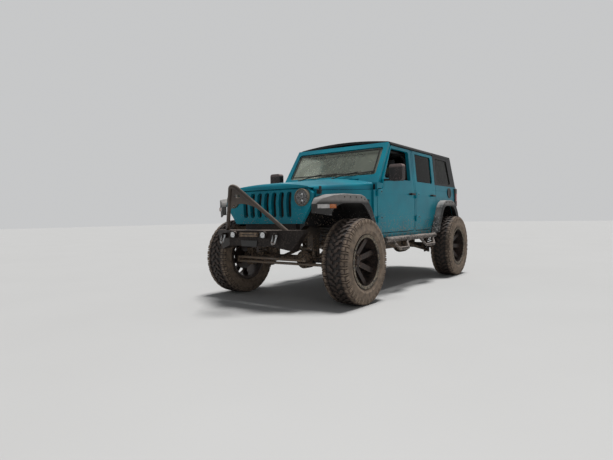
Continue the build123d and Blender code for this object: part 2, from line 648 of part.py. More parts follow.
# Floors, the step between them and the tunnel over the gearbox
FLOOR_HALF = 716.8
RISER_HALF = 704.0
REAR_FLOOR_TOP = REAR_FLOOR_Z + FLOOR_THICKNESS
with BuildPart() as floor_pan:
    block((-FLOOR_HALF, FLOOR_HALF), (HOOD_END_Y + SEAM, RISER_Y + FLOOR_THICKNESS),
          (FLOOR_Z, FLOOR_Z + FLOOR_THICKNESS))
    block((-RISER_HALF, RISER_HALF), (RISER_Y, RISER_Y + FLOOR_THICKNESS), (FLOOR_Z, REAR_FLOOR_TOP))
    block((-RISER_HALF, RISER_HALF), (RISER_Y, WHEELBASE - 540), (REAR_FLOOR_Z, REAR_FLOOR_TOP))
    block((-WHEELHOUSE_X + SEAM, WHEELHOUSE_X - SEAM), (RISER_Y, TAIL_Y - TAILGATE_WALL - SEAM),
          (REAR_FLOOR_Z, REAR_FLOOR_TOP))
    block((-FLOOR_HALF - 9, FLOOR_HALF + 9), (WHEELBASE + 438, TAIL_Y - TAILGATE_WALL - SEAM),
          (REAR_FLOOR_Z, REAR_FLOOR_TOP))
    block((-176, 176), (HOOD_END_Y + SEAM, 1420), (FLOOR_Z, 986))
    block((-164, 164), (FIREWALL_Y, 1408), (FLOOR_Z - 10, 974), mode=Mode.SUBTRACT)
finish(floor_pan, "floor_pan")

# Windshield frame, drawn in its own raked plane
rake_angle = math.atan(RAKE)
rake_out = (0, -math.cos(rake_angle), math.sin(rake_angle))
RAKE_LENGTH = math.hypot(HEADER_Y - WINDSHIELD_Y, 1918 - COWL_TOP_Z)
windshield_plane = Plane(origin=(0, WINDSHIELD_Y, COWL_TOP_Z), x_dir=(1, 0, 0), z_dir=rake_out)
WINDSCREEN = [(-680, 139), (680, 139), (ROOF_HALF - 54, 594), (54 - ROOF_HALF, 594)]
with BuildPart() as windshield_frame:
    slab(windshield_plane, [(-762, -60), (762, -60), (ROOF_HALF - 2, RAKE_LENGTH),
                            (2 - ROOF_HALF, RAKE_LENGTH)], -PILLAR_DEPTH)
    slab(windshield_plane, WINDSCREEN, -PILLAR_DEPTH, radius=40, mode=Mode.SUBTRACT)
    block((-800, 800), (600, 900), (1200, COWL_TOP_Z + SEAM), mode=Mode.SUBTRACT)
finish(windshield_frame, "windshield_frame")

# Hardtop: roof, leaning sides and the frame of the rear glass
ROOF_FRONT_Y = HEADER_Y + 48
BACKLIGHT = [(-560, 1452), (560, 1452), (520, 1850), (-520, 1850)]
TAIL_LEAN = (ROOF_TAIL_Y - TAIL_Y) / (ROOF_EDGE_Z + 20 - BELT_Z)
REAR_WALL = 36.0
lean_top = (TAIL_Y + (ROOF_CROWN_Z + 20 - BELT_Z) * TAIL_LEAN, ROOF_CROWN_Z + 20)
REAR_LEAN = [(TAIL_Y, BELT_Z), lean_top, (lean_top[0] - REAR_WALL, lean_top[1]),
             (TAIL_Y - REAR_WALL, BELT_Z)]


def roof_section(inset):
    """The roof's section across the vehicle, set in by a wall."""
    half = ROOF_HALF + 2 - inset
    edge = ROOF_EDGE_Z - inset
    foot = DOOR_TOP_Z + SHUT_GAP if inset == 0 else DOOR_TOP_Z - 50
    with BuildSketch(cross(ROOF_TAIL_Y)) as section:
        with BuildLine():
            foot_line = Line((-half, foot), (half, foot))
            right = Line(foot_line @ 1, (half, edge - 24))
            corner = ThreePointArc(right @ 1, (half - 9, edge - 3), (half - 34, edge + 10))
            crown = ThreePointArc(corner @ 1, (0, ROOF_CROWN_Z - inset), (-half + 34, edge + 10))
            other = ThreePointArc(crown @ 1, (-half + 9, edge - 3), (-half, edge - 24))
            Line(other @ 1, foot_line @ 0)
        make_face()
    return section.sketch


with BuildPart() as rear_limits:
    slab(cross(PAST_TAIL_Y), [(-upper_x(BELT_Z), BELT_Z), (upper_x(BELT_Z), BELT_Z),
                              (upper_x(ROOF_EDGE_Z - 24), ROOF_EDGE_Z - 24),
                              (-upper_x(ROOF_EDGE_Z - 24), ROOF_EDGE_Z - 24)], 500)
    extrude(roof_section(0), amount=60, both=True)
with BuildPart() as hardtop_rear:
    slab(side(-800), REAR_LEAN, 1600)
    add(rear_limits.part, mode=Mode.INTERSECT)
    slab(cross(PAST_TAIL_Y), BACKLIGHT, 500, radius=40, mode=Mode.SUBTRACT)
with BuildPart() as hardtop_side:
    lengthwise(upper_strip(ROOF_WALL, ROOF_EDGE_Z), REAR_DOOR_END_Y + SHUT_GAP, TAIL_Y)
    slab(side(500), [(2000, 1400), (TAIL_Y, BELT_Z), (ROOF_TAIL_Y, ROOF_EDGE_Z), (2000, 1930)], 400,
         mode=Mode.INTERSECT)
    slab(side(500), QUARTER_WINDOW, 400, radius=36, mode=Mode.SUBTRACT)
with BuildPart() as hardtop:
    extrude(roof_section(0), amount=ROOF_TAIL_Y - ROOF_FRONT_Y)
    extrude(roof_section(ROOF_WALL), amount=ROOF_TAIL_Y - ROOF_FRONT_Y, mode=Mode.SUBTRACT)
    add(hardtop_side.part)
    add(mirror(hardtop_side.part, about=Plane.YZ, mode=Mode.PRIVATE))
    add(hardtop_rear.part)
    block((-900, 900), (2000, PAST_TAIL_Y), (BELT_Z - 20, BELT_Z + SEAM), mode=Mode.SUBTRACT)
finish(hardtop, "hardtop")

# Fixed glass: windscreen, quarter windows and the rear window
with BuildPart() as fixed_windows:
    lengthwise(upper_strip(GLASS, ROOF_EDGE_Z, inset=14), 2000, TAIL_Y)
    slab(side(500), grown(QUARTER_WINDOW, -SEAM), 400, radius=36, mode=Mode.INTERSECT)
    mirror(about=Plane.YZ)
    glass_plane = windshield_plane.offset(-20)
    slab(glass_plane, grown(WINDSCREEN, -SEAM), -GLASS, radius=40)
with BuildPart() as rear_glass:
    slab(side(-600), [(TAIL_Y - 14, BELT_Z), (TAIL_Y - 14 + 480 * TAIL_LEAN, BELT_Z + 480),
                      (TAIL_Y - 14 - GLASS + 480 * TAIL_LEAN, BELT_Z + 480),
                      (TAIL_Y - 14 - GLASS, BELT_Z)], 1200)
    slab(cross(PAST_TAIL_Y), grown(BACKLIGHT, -SEAM), 500, radius=40, mode=Mode.INTERSECT)
with BuildPart() as all_fixed_windows:
    add(fixed_windows.part)
    add(rear_glass.part)
finish(all_fixed_windows, "fixed_windows")

# Doors: the lower part is as thick as the whole door, and the frame above it leans in
DOORS = [
    ("door_front", FRONT_DOOR, FRONT_WINDOW, FRONT_DOOR_Y - 17),
    ("door_rear", REAR_DOOR, REAR_WINDOW, B_PILLAR_Y),
]
for name, outline, window, hinge_y in DOORS:
    with BuildPart() as door:
        lengthwise(side_strip(DOOR_WALL), 600, REAR_DOOR_END_Y + 50)
        lengthwise(upper_strip(FRAME_WALL, ROOF_EDGE_Z), 600, REAR_DOOR_END_Y + 50)
        slab(side(500), outline, 400, DOOR_CORNER, mode=Mode.INTERSECT)
        slab(side(500), window, 400, radius=22, mode=Mode.SUBTRACT)
        # Hinge barrels stand on the body's own
        for hinge_z in (880, 1200):
            rod((HINGE_X, hinge_y, hinge_z + 40 + SEAM), (HINGE_X, hinge_y, hinge_z + 74),
                HINGE_RADIUS)
            block((HINGE_X - 6, HINGE_X + 6), (hinge_y, hinge_y + 60), (hinge_z + 44, hinge_z + 74))
            block((BODY_HALF - 8, HINGE_X + 6), (hinge_y + 40, hinge_y + 70),
                  (hinge_z + 44, hinge_z + 74))
    finish(door, f"{name}_left")
    with BuildPart() as right_door:
        mirror(door.part, about=Plane.YZ)
    finish(right_door, f"{name}_right")

with BuildPart() as door_window:
    lengthwise(upper_strip(GLASS, ROOF_EDGE_Z, inset=14), 1600, REAR_DOOR_END_Y)
    slab(side(500), grown(REAR_WINDOW, -SEAM), 400, radius=22, mode=Mode.INTERSECT)
finish(door_window, "door_window_rear_left")
with BuildPart() as right_door_window:
    mirror(door_window.part, about=Plane.YZ)
finish(right_door_window, "door_window_rear_right")

with BuildPart() as mirror_head:
    block((868, 1045), (820, 908), (1388, 1592))
    fillet(mirror_head.edges().filter_by(Axis.Y), 34)
    block((784.5, 880), (852, 884), (1396, 1420))
finish(mirror_head, "mirror_left")
with BuildPart() as right_mirror:
    mirror(mirror_head.part, about=Plane.YZ)
finish(right_mirror, "mirror_right")


# Hood: a crowned shell that widens towards the cowl, its edges rounded
NOSE_RADIUS = 60.0
HOOD_RISE = (HOOD_REAR_CROWN - HOOD_FRONT_CROWN) / (HOOD_END_Y - GRILLE_Y)
NOSE_Z = HOOD_FRONT_CROWN - NOSE_RADIUS * (1 - HOOD_RISE)
HOOD_CROWN_REACH = 800.0
HOOD_CROWN_DROP = 96.0
HOOD_EDGE_RADIUS = 38.0
hood_slope = Vector(0, GRILLE_Y - HOOD_END_Y, HOOD_FRONT_CROWN - HOOD_REAR_CROWN)
hood_plane = Plane(origin=(0, HOOD_END_Y, HOOD_REAR_CROWN), x_dir=(1, 0, 0), z_dir=hood_slope)


def hood_body(inset, end_y):
    """The space under the hood's crowned top, between its leaning sides, set in by a wall."""
    with BuildSketch(hood_plane) as section:
        with BuildLine():
            foot = -inset - HOOD_CROWN_DROP
            crown = ThreePointArc((-HOOD_CROWN_REACH, foot), (0, -inset), (HOOD_CROWN_REACH, foot))
            Polyline(crown @ 1, (HOOD_CROWN_REACH, -400), (-HOOD_CROWN_REACH, -400), crown @ 0)
        make_face()
    extrude(section.sketch, amount=1500, both=True)
    block((-900, 900), (GRILLE_Y + inset, end_y), (1000, 1500), mode=Mode.INTERSECT)
    slope = (HOOD_REAR_HALF - HOOD_FRONT_HALF) / (HOOD_END_Y - GRILLE_Y)
    ends = [(y, HOOD_FRONT_HALF + (y - GRILLE_Y) * slope - inset) for y in (-600, 800)]
    slab(level(900), [(-ends[0][1], ends[0][0]), (ends[0][1], ends[0][0]),
                      (ends[1][1], ends[1][0]), (-ends[1][1], ends[1][0])], 700,
         mode=Mode.INTERSECT)


with BuildPart() as hood_inside:
    hood_body(HOOD_WALL, HOOD_END_Y + 1)
with BuildPart() as hood:
    hood_body(0, HOOD_END_Y)
    top = hood.faces().sort_by(Axis.Z)[-1]
    fillet(top.edges().filter_by(lambda edge: abs(edge.center().X) > 100), HOOD_EDGE_RADIUS)
    with BuildSketch(side(-900)) as hood_side:
        with BuildLine():
            seat_z = GRILLE_TOP_Z + HOOD_GAP
            skirt_y = GRILLE_Y + GRILLE_WALL + 30
            diagonal = NOSE_RADIUS * math.sqrt(0.5)
            nose = ThreePointArc((GRILLE_Y, NOSE_Z),
                                 (GRILLE_Y + NOSE_RADIUS - diagonal, NOSE_Z + diagonal),
                                 (GRILLE_Y + NOSE_RADIUS, NOSE_Z + NOSE_RADIUS))
            Polyline(nose @ 1, (HOOD_END_Y, 1600), (HOOD_END_Y, HOOD_SKIRT_REAR_Z),
                     (skirt_y, HOOD_SKIRT_FRONT_Z), (skirt_y, seat_z), (GRILLE_Y, seat_z), nose @ 0)
        make_face()
    extrude(hood_side.sketch, amount=1800, mode=Mode.INTERSECT)
    add(hood_inside.part, mode=Mode.SUBTRACT)
    # Its hinge barrels, on leaves that lie in the top
    for sign in (1, -1):
        barrel_x = sorted((sign * (HOOD_HINGE_X - HOOD_BARREL), sign * HOOD_HINGE_X))
        rod((barrel_x[0], HOOD_HINGE_Y, HOOD_HINGE_Z), (barrel_x[1], HOOD_HINGE_Y, HOOD_HINGE_Z),
            HOOD_HINGE_RADIUS)
        block(barrel_x, (HOOD_END_Y - 60, HOOD_HINGE_Y), (HOOD_HINGE_Z - 20,
                                                          HOOD_HINGE_Z + HOOD_HINGE_RADIUS))
finish(hood, "hood")

# Grille: a bent panel with seven slots and two lamp holes
GRILLE_FOOT_Y = -464.0
GRILLE_TOP_Y = -454.0
GRILLE_BEND_Z = 1120.0
with BuildPart() as grille:
    slab(side(-700), [(GRILLE_FOOT_Y, GRILLE_FOOT_Z), (GRILLE_Y, GRILLE_BEND_Z),
                      (GRILLE_TOP_Y, GRILLE_TOP_Z), (GRILLE_TOP_Y + GRILLE_WALL, GRILLE_TOP_Z),
                      (GRILLE_Y + GRILLE_WALL, GRILLE_BEND_Z),
                      (GRILLE_FOOT_Y + GRILLE_WALL, GRILLE_FOOT_Z)], 1400)
    slab(cross(-300), [(-GRILLE_FOOT_HALF, GRILLE_FOOT_Z), (GRILLE_FOOT_HALF, GRILLE_FOOT_Z),
                       (GRILLE_TOP_HALF, 1100), (GRILLE_TOP_HALF, GRILLE_TOP_Z - 50),
                       (GRILLE_TOP_HALF - 50, GRILLE_TOP_Z), (-GRILLE_TOP_HALF + 50, GRILLE_TOP_Z),
                       (-GRILLE_TOP_HALF, GRILLE_TOP_Z - 50), (-GRILLE_TOP_HALF, 1100)], 300,
         mode=Mode.INTERSECT)
    slot_height = SLOT_TOP_Z - SLOT_FOOT_Z
    with BuildSketch(cross(-300)) as openings:
        with Locations((0, SLOT_FOOT_Z + slot_height / 2)):
            with GridLocations(SLOT_PITCH, 0, SLOT_COUNT, 1):
                RectangleRounded(SLOT_WIDTH, slot_height, SLOT_WIDTH / 2 - 4)
        with Locations((-HEADLAMP_X, HEADLAMP_Z), (HEADLAMP_X, HEADLAMP_Z)):
            Circle(HEADLAMP_RADIUS + SEAM)
    extrude(openings.sketch, amount=300, mode=Mode.SUBTRACT)
finish(grille, "grille")

with BuildPart() as radiator:
    block((-372, 372), (GRILLE_FOOT_Y + GRILLE_WALL + SEAM, -352), (800 + SEAM, 1190))
finish(radiator, "radiator")

with BuildPart() as front_lamps:
    rod((HEADLAMP_X, -494, HEADLAMP_Z), (HEADLAMP_X, -436, HEADLAMP_Z), HEADLAMP_RADIUS)
    # Markers on the swept faces of the flares
    sweep_start, sweep_end = (Vector(*point) for point in FLARE_PLAN[1:3])
    along = (sweep_end - sweep_start).normalized()
    swept_face = Plane(origin=sweep_start, x_dir=along, z_dir=along.cross(Vector(0, 0, 1)))
    slab(swept_face.offset(SEAM), [(16, 1038), (228, 1038), (228, 1098), (16, 1098)], 10, 8)
    mirror(about=Plane.YZ)
finish(front_lamps, "front_lamps")

with BuildPart() as tail_lamps:
    block(*TAIL_LAMP)
    mirror(about=Plane.YZ)
finish(tail_lamps, "tail_lamps")

# Front fenders: leaning outer panels, with a deck and an inner wall beside the engine
FENDER_FRONT_Y = GRILLE_Y + GRILLE_WALL + 26
FENDER_TOP_FRONT_Z = HOOD_SKIRT_FRONT_Z - HOOD_GAP
FENDER_TOP_REAR_Z = HOOD_SKIRT_REAR_Z - HOOD_GAP
HOOD_STOP_Z = 1259.8
with BuildPart() as front_fenders:
    slab(level(650), [(590, FENDER_FRONT_Y), (634, FENDER_FRONT_Y), (768, FENDER_END_Y),
                      (724, FENDER_END_Y)], 700)
    slab(side(500), [(FENDER_FRONT_Y, 700), (FENDER_END_Y, 700), (FENDER_END_Y, FENDER_TOP_REAR_Z),
                     (FENDER_FRONT_Y, FENDER_TOP_FRONT_Z)], 400, mode=Mode.INTERSECT)
    slab(side(500), grown(arch_outer(FRONT_ARCH, 0, ARCH_FOOT_Z), SEAM), 400, mode=Mode.SUBTRACT)
    slab(level(1204), [(487, FENDER_FRONT_Y), (600, FENDER_FRONT_Y), (740, FENDER_END_Y),
                       (487, FENDER_END_Y)], 12)
    block((487, 499), (FENDER_FRONT_Y, FIREWALL_Y - SEAM), (862, 1216))
    block((647, 657), (-10, 10), (1240, HOOD_STOP_Z))
    mirror(about=Plane.YZ)
finish(front_fenders, "front_fenders")

# Fender flares with their liners
with BuildPart() as flare_inside:
    slab(side(LINER_X - 1), grown(arch_outer(FRONT_ARCH, 0, ARCH_FOOT_Z), -FLARE_WALL),
         FLARE_HALF - LINER_X + 1)
    slab(level(400), grown(FLARE_PLAN, -FLARE_WALL), 1000, mode=Mode.INTERSECT)
with BuildPart() as front_flare:
    slab(side(LINER_X), arch_outer(FRONT_ARCH, 0), FLARE_HALF - LINER_X)
    slab(level(600), FLARE_PLAN, 700, mode=Mode.INTERSECT)
    fillet(front_flare.faces().sort_by(Axis.X)[-1].edges(), 12)
    add(flare_inside.part, mode=Mode.SUBTRACT)
    slab(side(LINER_X - 1), arch_lip(FRONT_ARCH, 0), 500, mode=Mode.SUBTRACT)
    block((LINER_X - 1, 630), (-520, FENDER_FRONT_Y), (900, 1300), mode=Mode.SUBTRACT)
with BuildPart() as rear_flare:
    slab(side(BODY_HALF + SEAM), arch_outer(REAR_ARCH, WHEELBASE), FLARE_HALF - BODY_HALF - SEAM)
    fillet(rear_flare.faces().sort_by(Axis.X)[-1].edges(), 12)
    slab(side(BODY_HALF), grown(arch_outer(REAR_ARCH, WHEELBASE, ARCH_FOOT_Z), -FLARE_WALL),
         FLARE_HALF - BODY_HALF - FLARE_WALL, mode=Mode.SUBTRACT)
    slab(side(BODY_HALF), arch_lip(REAR_ARCH, WHEELBASE), 500, mode=Mode.SUBTRACT)
with BuildPart() as fender_flares:
    add(front_flare.part)
    add(rear_flare.part)
    mirror(about=Plane.YZ)
finish(fender_flares, "fender_flares")

# Front bumper: a stubby folded shell, open behind
BUMPER_BACK_Y = -560.0 - SEAM
BUMPER_FACE = [(-498, 612), (-300, 660), (300, 660), (498, 612), (624, 790), (624, BUMPER_TOP_Z),
               (-624, BUMPER_TOP_Z), (-624, 790)]
BUMPER_PLAN = [(-624, BUMPER_BACK_Y), (-624, -625), (-300, BUMPER_NOSE_Y), (300, BUMPER_NOSE_Y),
               (624, -625), (624, BUMPER_BACK_Y)]
with BuildPart() as bumper_inside:
    slab(cross(BUMPER_BACK_Y + 2), grown(BUMPER_FACE, -8), 300)
    slab(level(500), grown(BUMPER_PLAN, -8), 400, mode=Mode.INTERSECT)
with BuildPart() as front_bumper:
    slab(cross(BUMPER_BACK_Y), BUMPER_FACE, 300)
    slab(level(500), BUMPER_PLAN, 400, mode=Mode.INTERSECT)
    add(bumper_inside.part, mode=Mode.SUBTRACT)
    block((-130, 130), (BUMPER_NOSE_Y - 20, BUMPER_NOSE_Y + 20), (762, 800), mode=Mode.SUBTRACT)
    for sign in (1, -1):
        rod((sign * 216, BUMPER_NOSE_Y + 4, 779), (sign * 216, BUMPER_NOSE_Y - 30, 779), 38)
        tab_x = sorted((sign * 362, sign * 380))
        block(tab_x, (-800, -700), (740, 800))
        rod((sign * 350, -776, 770), (sign * 390, -776, 770), 12.5, mode=Mode.SUBTRACT)
finish(front_bumper, "front_bumper")

# Shackles: a bow and the pin through the tab
with BuildPart() as tow_shackles:
    rod((348, -776, 770), (394, -776, 770), 12)
    tube_run([(350, -776, 770), (350, -812, 690), (392, -812, 690), (392, -776, 770)], 20, 9)
    mirror(about=Plane.YZ)
finish(tow_shackles, "tow_shackles")

# Stinger bar: a bent tube from the bumper to its apex, with a plate across the top
stinger_rise = Vector(0, STINGER_APEX_Y - STINGER_FOOT_Y, STINGER_APEX_Z - BUMPER_TOP_Z)
stinger_plane = Plane(origin=(0, STINGER_FOOT_Y, BUMPER_TOP_Z), x_dir=(1, 0, 0),
                      z_dir=Vector(1, 0, 0).cross(stinger_rise))
STINGER_TOP = stinger_rise.length
STINGER_CORNER = STINGER_TOP + STINGER_BEND * (1 / math.sin(STINGER_HALF_ANGLE) - 1)
STINGER_DROP = 20.0
STINGER_FOOT_HALF = (STINGER_CORNER + STINGER_DROP) * math.tan(STINGER_HALF_ANGLE)
with BuildPart() as stinger_bar:
    # The plate, with its arched lower edge and its slot
    slab(stinger_plane, [(-262, 200), (0, STINGER_TOP), (262, 200)], 6)
    with BuildSketch(stinger_plane) as plate_holes:
        with Locations((0, 46)):
            Circle(304)
        with Locations((0, 445)):
            RectangleRounded(72, 40, 19)
    extrude(plate_holes.sketch, amount=20, both=True, mode=Mode.SUBTRACT)
    tube_run([stinger_plane.from_local_coords((u, v, 0)) for u, v in
              ((-STINGER_FOOT_HALF, -STINGER_DROP), (0, STINGER_CORNER),
               (STINGER_FOOT_HALF, -STINGER_DROP))], STINGER_BEND, STINGER_TUBE)
    block((-500, 500), (-760, -560), (600, BUMPER_TOP_Z + SEAM), mode=Mode.SUBTRACT)
finish(stinger_bar, "stinger_bar")

STEP_LOOPS = [(933, 1357, 1005, 1276), (1785, 2268, 1890, 2183)]
with BuildPart() as side_steps:
    rod((STEP_X, 760, STEP_Z), (STEP_X, WHEELBASE - 608, STEP_Z), STEP_TUBE)
    for front, back, low_front, low_back in STEP_LOOPS:
        tube_run([(STEP_X + 10, front, STEP_Z - 10), (920, low_front, STEP_FOOT_Z),
                  (920, low_back, STEP_FOOT_Z), (STEP_X + 10, back, STEP_Z - 10)], 40, 17)
    for bracket_y in (980, 1660, 2180):
        rod((RAIL_X + RAIL_WIDTH / 2 + SEAM, bracket_y, 652), (STEP_X, bracket_y, 652), 16)
    mirror(about=Plane.YZ)
finish(side_steps, "side_steps")

with BuildPart() as rear_bumper:
    block((-690, 690), (TAIL_Y + 14, TAIL_Y + 130), (606, 726))
    fillet(rear_bumper.edges().filter_by(Axis.X), 14)
    for x in (-430, 430):
        block((x - RAIL_WIDTH / 2, x + RAIL_WIDTH / 2), (RAIL_END_Y + SEAM, TAIL_Y + 20), (640, 720))
    # Hitch receiver and its pin hole
    block((-32, 32), (TAIL_Y - 142, TAIL_Y + 160), (530, 594))
    block((-45, 45), (TAIL_Y + 20, TAIL_Y + 100), (590, 610))
    block((-25.4, 25.4), (TAIL_Y - 82, TAIL_Y + 200), (536.6, 587.4), mode=Mode.SUBTRACT)
    rod((-60, TAIL_Y + 130, 562), (60, TAIL_Y + 130, 562), 8, mode=Mode.SUBTRACT)
finish(rear_bumper, "rear_bumper")

# Tailgate with the spare wheel's carrier
with BuildPart() as tailgate:
    block((-TAILGATE_HALF, TAILGATE_HALF), (TAIL_Y - TAILGATE_WALL, TAIL_Y),
          (TAILGATE_FOOT_Z, BELT_Z - SHUT_GAP))
    for hinge_z in (960, 1300):
        rod((TAIL_HINGE_X, TAIL_HINGE_Y, hinge_z + 50 + SEAM),
            (TAIL_HINGE_X, TAIL_HINGE_Y, hinge_z + 96), HINGE_RADIUS)
        block((TAIL_HINGE_X, -560), (TAIL_HINGE_Y - 6, TAIL_HINGE_Y + 6),
              (hinge_z + 54, hinge_z + 96))
        block((-572, 120), (TAIL_Y, TAIL_HINGE_Y + 24), (hinge_z + 54, hinge_z + 96))
    block((-150, 150), (TAIL_Y, TAIL_Y + 40), (1100, 1400))
    rod((0, TAIL_Y, SPARE_Z), (0, SPARE_Y - HUB_INSET - SEAM, SPARE_Z), 76)
finish(tailgate, "tailgate")


# Wheels: the hub plane looks outwards, and sections turn round its normal
def radial_plane(hub, angle):
    """A plane that holds the wheel's axis: its x is the radius and its y the axle outwards."""
    turn = math.radians(angle)
    radius_dir = hub.x_dir * math.cos(turn) + hub.y_dir * math.sin(turn)
    return Plane(origin=hub.origin, x_dir=radius_dir, z_dir=radius_dir.cross(hub.z_dir))


def turned(hub, points, mode=Mode.ADD):
    """Revolve a section of radius and distance along the axle."""
    with BuildSketch(radial_plane(hub, 0)) as section:
        with BuildLine():
            Polyline(*points, close=True)
        make_face()
    return revolve(section.sketch, axis=Axis(hub.origin, hub.z_dir), mode=mode)


def tyre_body(hub):
    """A hollow tyre: tread, shoulders, bulging walls and beads that sit on the rim."""
    bead = RIM_HALF_WIDTH - 13
    flat = TREAD_HALF_WIDTH - 20
    with BuildSketch(radial_plane(hub, 0)) as section:
        with BuildLine():
            tread = Line((TYRE_RADIUS, -flat), (TYRE_RADIUS, flat))
            shoulder = Line(tread @ 1, (TYRE_RADIUS - 12, TREAD_HALF_WIDTH + 4))
            outer = ThreePointArc(shoulder @ 1, (385, TYRE_HALF_WIDTH),
                                  (RIM_LIP_RADIUS + 3, bead + 2))
            foot = Polyline(outer @ 1, (BEAD_RADIUS + SEAM, bead - SEAM),
                            (BEAD_RADIUS + SEAM, bead - TYRE_WALL))
            inner = ThreePointArc(foot @ 1, (380, TYRE_HALF_WIDTH - TYRE_WALL),
                                  (TYRE_RADIUS - 32, flat))
            crown = Line(inner @ 1, (TYRE_RADIUS - 32, -flat))
            inner_back = ThreePointArc(crown @ 1, (380, -TYRE_HALF_WIDTH + TYRE_WALL),
                                       (BEAD_RADIUS + SEAM, -bead + TYRE_WALL))
            foot_back = Polyline(inner_back @ 1, (BEAD_RADIUS + SEAM, -bead + SEAM),
                                 (RIM_LIP_RADIUS + 3, -bead - 2))
            outer_back = ThreePointArc(foot_back @ 1, (385, -TYRE_HALF_WIDTH),
                                       (TYRE_RADIUS - 12, -TREAD_HALF_WIDTH - 4))
            Line(outer_back @ 1, tread @ 0)
        make_face()
    return revolve(section.sketch, axis=Axis(hub.origin, hub.z_dir))


def rim_body(hub, phase):
    """A dished rim: barrel with lips, hub and spokes."""
    barrel_inner = BEAD_RADIUS - RIM_WALL
    turned(hub, [(barrel_inner, -RIM_HALF_WIDTH), (RIM_LIP_RADIUS, -RIM_HALF_WIDTH),
                 (RIM_LIP_RADIUS, -RIM_HALF_WIDTH + 11), (BEAD_RADIUS, -RIM_HALF_WIDTH + 11),
                 (BEAD_RADIUS, RIM_HALF_WIDTH - 11), (RIM_LIP_RADIUS, RIM_HALF_WIDTH - 11),
                 (RIM_LIP_RADIUS, RIM_HALF_WIDTH), (barrel_inner, RIM_HALF_WIDTH)])
    face = RIM_HALF_WIDTH - RIM_DISH
    turned(hub, [(0, -HUB_INSET), (HUB_RADIUS, -HUB_INSET), (HUB_RADIUS, 2), (58, 10), (54, 26),
                 (0, 26)])
    for index in range(SPOKE_COUNT):
        with BuildSketch(radial_plane(hub, phase + index * 360 / SPOKE_COUNT)) as spoke:
            with BuildLine():
                Polyline((HUB_RADIUS - 34, -HUB_INSET), (HUB_RADIUS + 30, -HUB_INSET),
                         (barrel_inner + 4, face - SPOKE_THICKNESS), (barrel_inner + 4, face),
                         (HUB_RADIUS + 10, -HUB_INSET + SPOKE_THICKNESS),
                         (HUB_RADIUS - 34, -HUB_INSET + SPOKE_THICKNESS), close=True)
            make_face()
        extrude(spoke.sketch, amount=SPOKE_WIDTH / 2, both=True)


def brake_body(hub):
    """The brake disc behind the hub and the stub that turns in its bearing."""
    turned(hub, [(0, -HUB_INSET), (66, -HUB_INSET), (66, -62 + DISC_THICKNESS),
                 (DISC_RADIUS, -62 + DISC_THICKNESS), (DISC_RADIUS, -62), (48, -62), (42, -98),
                 (STUB_RADIUS, -98), (STUB_RADIUS, -158), (0, -158)])


ROAD_WHEELS = [("front_left", 1, 0.0, FRONT_SPOKE_PHASE), ("front_right", -1, 0.0, FRONT_SPOKE_PHASE),
               ("rear_left", 1, WHEELBASE, REAR_SPOKE_PHASE),
               ("rear_right", -1, WHEELBASE, REAR_SPOKE_PHASE)]
for name, sign, axle_y, phase in ROAD_WHEELS:
    hub_plane = Plane(origin=(sign * TRACK / 2, axle_y, AXLE_Z), x_dir=(0, 1, 0), z_dir=(sign, 0, 0))
    with BuildPart() as tyre:
        tyre_body(hub_plane)
    finish(tyre, f"tyre_{name}")
    with BuildPart() as rim:
        rim_body(hub_plane, phase)
        brake_body(hub_plane)
    finish(rim, f"rim_{name}")
spare_plane = Plane(origin=(0, SPARE_Y, SPARE_Z), x_dir=(1, 0, 0), z_dir=(0, 1, 0))
with BuildPart() as spare_tyre:
    tyre_body(spare_plane)
finish(spare_tyre, "tyre_spare")
with BuildPart() as spare_rim:
    rim_body(spare_plane, FRONT_SPOKE_PHASE)
finish(spare_rim, "rim_spare")

# Steering: knuckles on kingpins, a tie rod, a drag link and the arm that moves it
for name, sign, pin_top in (("left", 1, ARM_Z + ARM_THICKNESS), ("right", -1, 490)):
    with BuildPart() as knuckle:
        pin_x = sign * KINGPIN_X
        rod((pin_x, 0, AXLE_Z - KNUCKLE_HALF_HEIGHT), (pin_x, 0, AXLE_Z + KNUCKLE_HALF_HEIGHT), 33)
        rod((pin_x, 0, AXLE_Z - 104), (pin_x, 0, AXLE_Z + 104), KINGPIN_RADIUS)
        rod((sign * BEARING_X[0], 0, AXLE_Z), (sign * BEARING_X[1], 0, AXLE_Z), BEARING_RADIUS)
        arm_x = (pin_x - 14, pin_x + 14)
        block(arm_x, (-STEERING_ARM, -20), (ARM_Z, ARM_Z + ARM_THICKNESS))
        rod((pin_x, -STEERING_ARM, ARM_Z), (pin_x, -STEERING_ARM, ARM_Z + ARM_THICKNESS), 22)
        rod((pin_x - sign * 65, 0, AXLE_Z), (pin_x + sign * 55, 0, AXLE_Z), STUB_RADIUS + SEAM,
            mode=Mode.SUBTRACT)
        rod((pin_x, -STEERING_ARM, TIE_ROD_Z - 15), (pin_x, -STEERING_ARM, pin_top),
            LINK_PIN_RADIUS)
    finish(knuckle, f"knuckle_{name}")


def steering_link(left, right, z, radius, left_gap, right_gap):
    """A rod between two eyes, each eye with its own gap round its pin."""
    rod((*left, z), (*right, z), radius)
    for (x, y), gap in ((left, left_gap), (right, right_gap)):
        rod((x, y, z - 12), (x, y, z + 12), LINK_EYE_RADIUS)
        rod((x, y, z - 40), (x, y, z + 40), LINK_PIN_RADIUS + gap, mode=Mode.SUBTRACT)
        block((x - 60, x + 60), (y - 60, y + 60), (z + 12, z + 40), mode=Mode.SUBTRACT)
        block((x - 60, x + 60), (y - 60, y + 60), (z - 40, z - 12), mode=Mode.SUBTRACT)


with BuildPart() as tie_rod:
    steering_link((KINGPIN_X, -STEERING_ARM), (-KINGPIN_X, -STEERING_ARM), TIE_ROD_Z, 16, PIN_GAP,
                  OPEN_PIN_GAP)
finish(tie_rod, "tie_rod")

